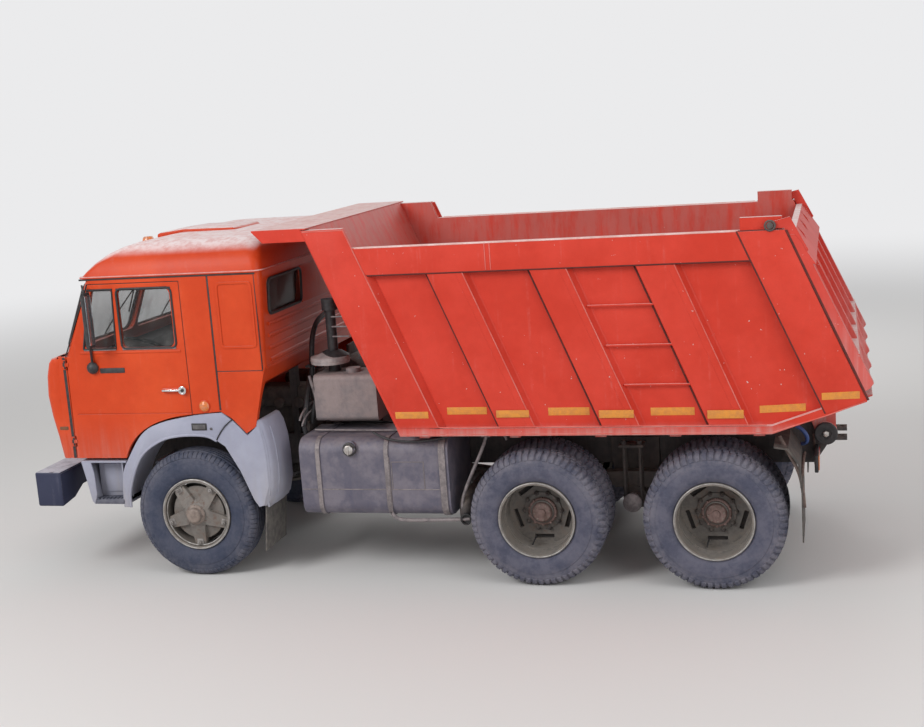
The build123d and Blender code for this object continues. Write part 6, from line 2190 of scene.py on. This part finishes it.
@dataclass
class BedFittings:
    """Reflector strips, squared ribs, post plates, hooks, wear with painted highlights and painted shadow
    lines on the tipper bed.
    """

    panel_y: float = 1250.0
    deep_y: float = 1192.0
    rib_places: tuple[float, ...] = (-2600.0, -3374.0, -4148.0)
    rise: Point = (480.0, 0.0, 1184.0)
    front_post: tuple[Flat, ...] = ((-1842, 1256), (-1186, 2780), (-1510, 2780), (-2144, 1256))
    rear_post: tuple[Flat, ...] = ((-4400, 2636), (-4718, 2636), (-5238, 1428), (-4966, 1336))
    pin: Flat = (-4621.0, 2668.0)

    def build(self) -> None:
        """Builds the bed's small pieces."""
        self._strips()
        self._lips()
        self._ribs()
        self._hooks()

    def _lips(self) -> None:
        """Lays the rubbed edges of the rails and ribs, and the joint of the top rail, as pale lines of wear
        with a painted highlight.
        """
        face = self.panel_y
        # Pale lines along the bottom rail and at the rail joint: wear with a painted highlight.
        worn = [
            Bench.block((-4560, face - 6, 1256), (-1862, face + 3, 1264), 2.0),
            Bench.tube(
                [
                    (-1846, face - 4, 1208), (-3200, face - 4, 1204), (-4590, face - 4, 1204),
                    (-4960, face - 5, 1320), (-5236, face - 5, 1424),
                ],
                6, False,
            ),
        ]
        for x in (-2590, -2628):
            worn.append(Bench.block((x - 3, face - 3, 2440), (x + 3, face + 3, 2636), 1.0))
        Bench.finish(Bench.both(Bench.join(*worn)), "bed_worn_edges", WORN_HIGHLIGHT, "bed", "bed_paint")
        # The top rail's pale line: wear with a painted highlight of the sky.
        pale = Bench.tube(
            [(-1590, face - 4, 2639), (-3400, face - 4, 2639), (-4390, face - 4, 2639)], 7, False
        )
        Bench.finish(Bench.both(pale), "rail_rubbed_top", RUBBED_HIGHLIGHT, "bed", "bed_paint")

    def _ribs(self) -> None:
        """Squares up the pressed ribs and the posts, with a bright bend behind, which is wear with a painted
        highlight, and a dark foot in front, which is painted shadow; painted shadow also runs under the top
        rail and along the rear post's front edge, and dark lines mark the joints at the corner block and the
        gate.
        """
        face, deep = self.panel_y, self.deep_y
        rise = self.rise
        steel, bright, dark = [], [], []
        for x in self.rib_places:
            section = ((228, face - 12), (228, face - 6), (284, face - 6), (322, deep - 1), (300, deep - 1))
            steel.append(Bench.plate([(x - back, y, 1251) for back, y in section], rise))
            # bright bend: wear with a painted highlight; dark foot: painted shadow in front of the rib
            bright.append(Bench.tube([(x - 284, face - 7, 1252), (x + 196, face - 7, 2434)], 4, False))
            dark.append(Bench.tube([(x + 5, deep + 2, 1252), (x + 485, deep + 2, 2434)], 9, False))
        for outline in (self.front_post, self.rear_post):
            steel.append(Bench.plate([(x, face - 6, z) for x, z in outline], (0.0, 10.0, 0.0), 2.0))
        fold = ((-2088, deep), (-2088, face), (-2146, face), (-2184, deep))
        steel.append(Bench.plate([(x, y, 1256) for x, y in fold], rise))
        # the front post's bright bend: wear with a painted highlight
        bright.append(
            Bench.tube([(-2144, face + 2, 1258), (-1512, face + 2, 2778), (-1188, face + 2, 2779)], 5, False)
        )
        # painted shadow by the rear post and under the top rail; dark joint lines at the corner block and the
        # gate
        dark.append(Bench.tube([(-4394, face - 2, 2636), (-4960, face - 2, 1340)], 7, False))
        dark.append(Bench.tube([(-4404, face + 1, 2640), (-4712, face + 1, 2640)], 4, False))
        dark.append(Bench.tube([(-1668, face - 8, 2432), (-4490, face - 8, 2432)], 9, False))
        dark.append(Bench.tube([(-4728, face - 4, 2632), (-5250, face - 4, 1430)], 9, False))
        Bench.finish(Bench.both(Bench.join(*steel)), "rib_steel", RED, "bed", "bed_paint")
        Bench.finish(Bench.both(Bench.join(*bright)), "rib_bright_bends", WORN_HIGHLIGHT, "bed", "bed_paint")
        Bench.finish(Bench.both(Bench.join(*dark)), "rib_dark_feet", SHADE_RED, "bed", "bed_paint")

    def _hooks(self) -> None:
        """Models the two bent hooks on the front wall's rim and the gate's pin rings."""
        bends = ((-1090, 2744), (-1086, 2776), (-1112, 2793), (-1150, 2791), (-1166, 2766), (-1160, 2744))
        hook = Bench.tube([(x, 820, z) for x, z in bends], 8)
        Bench.finish(Bench.both(hook), "rim_hooks", TRIM, "bed", "bed_paint")
        x, z = self.pin
        ring = Bench.ring((x, self.panel_y + 10, z), 34, 7, 28)
        washer = Bench.rod((x, self.panel_y - 6, z), (x, self.panel_y + 12, z), 24, 3.0)
        Bench.finish(Bench.both(Bench.join(ring, washer)), "pin_rings", CAST, "bed", "bed_paint")

    def _strips(self) -> None:
        """Lays the nine reflector strips along each side, on the ribs and between them."""
        made = []
        for front, rear, low, high, face in (
            (-1810, -2070, 1333, 1385, 1254), (-2202, -2511, 1346, 1402, 1192),
            (-2596, -2846, 1333, 1388, 1250), (-2979, -3288, 1332, 1391, 1192),
            (-3366, -3621, 1322, 1380, 1250), (-3736, -4052, 1324, 1382, 1192),
            (-4147, -4402, 1310, 1371, 1250),
        ):
            made.append(Bench.block((rear, face - 1, low), (front, face + 2, high), 1.0))
        for face, corners in (
            (self.deep_y, ((-4510, 1334), (-4828, 1346), (-4828, 1400), (-4510, 1386))),
            (self.panel_y + 4, ((-4939, 1437), (-5194, 1444), (-5194, 1496), (-4939, 1487))),
        ):
            made.append(Bench.plate([(x, face - 1, z) for x, z in corners], (0.0, 3.0, 0.0)))
        piece = Bench.both(Bench.join(*made))
        Bench.finish(piece, "reflector_strips", STRIP, "bed", "bed_paint")


def main() -> None:
    """Builds the truck's visible pieces in order."""
    logging.basicConfig(level=logging.INFO, format="%(name)s: %(message)s")
    bpy.ops.object.select_all(action="DESELECT")
    Studio().build()
    dress_frame()
    for assembly in (Tyres(), WheelFittings(), Cab(), Wings(), Underbody(), Tail(), BedFittings()):
        assembly.build()


if __name__ == "__main__":
    main()
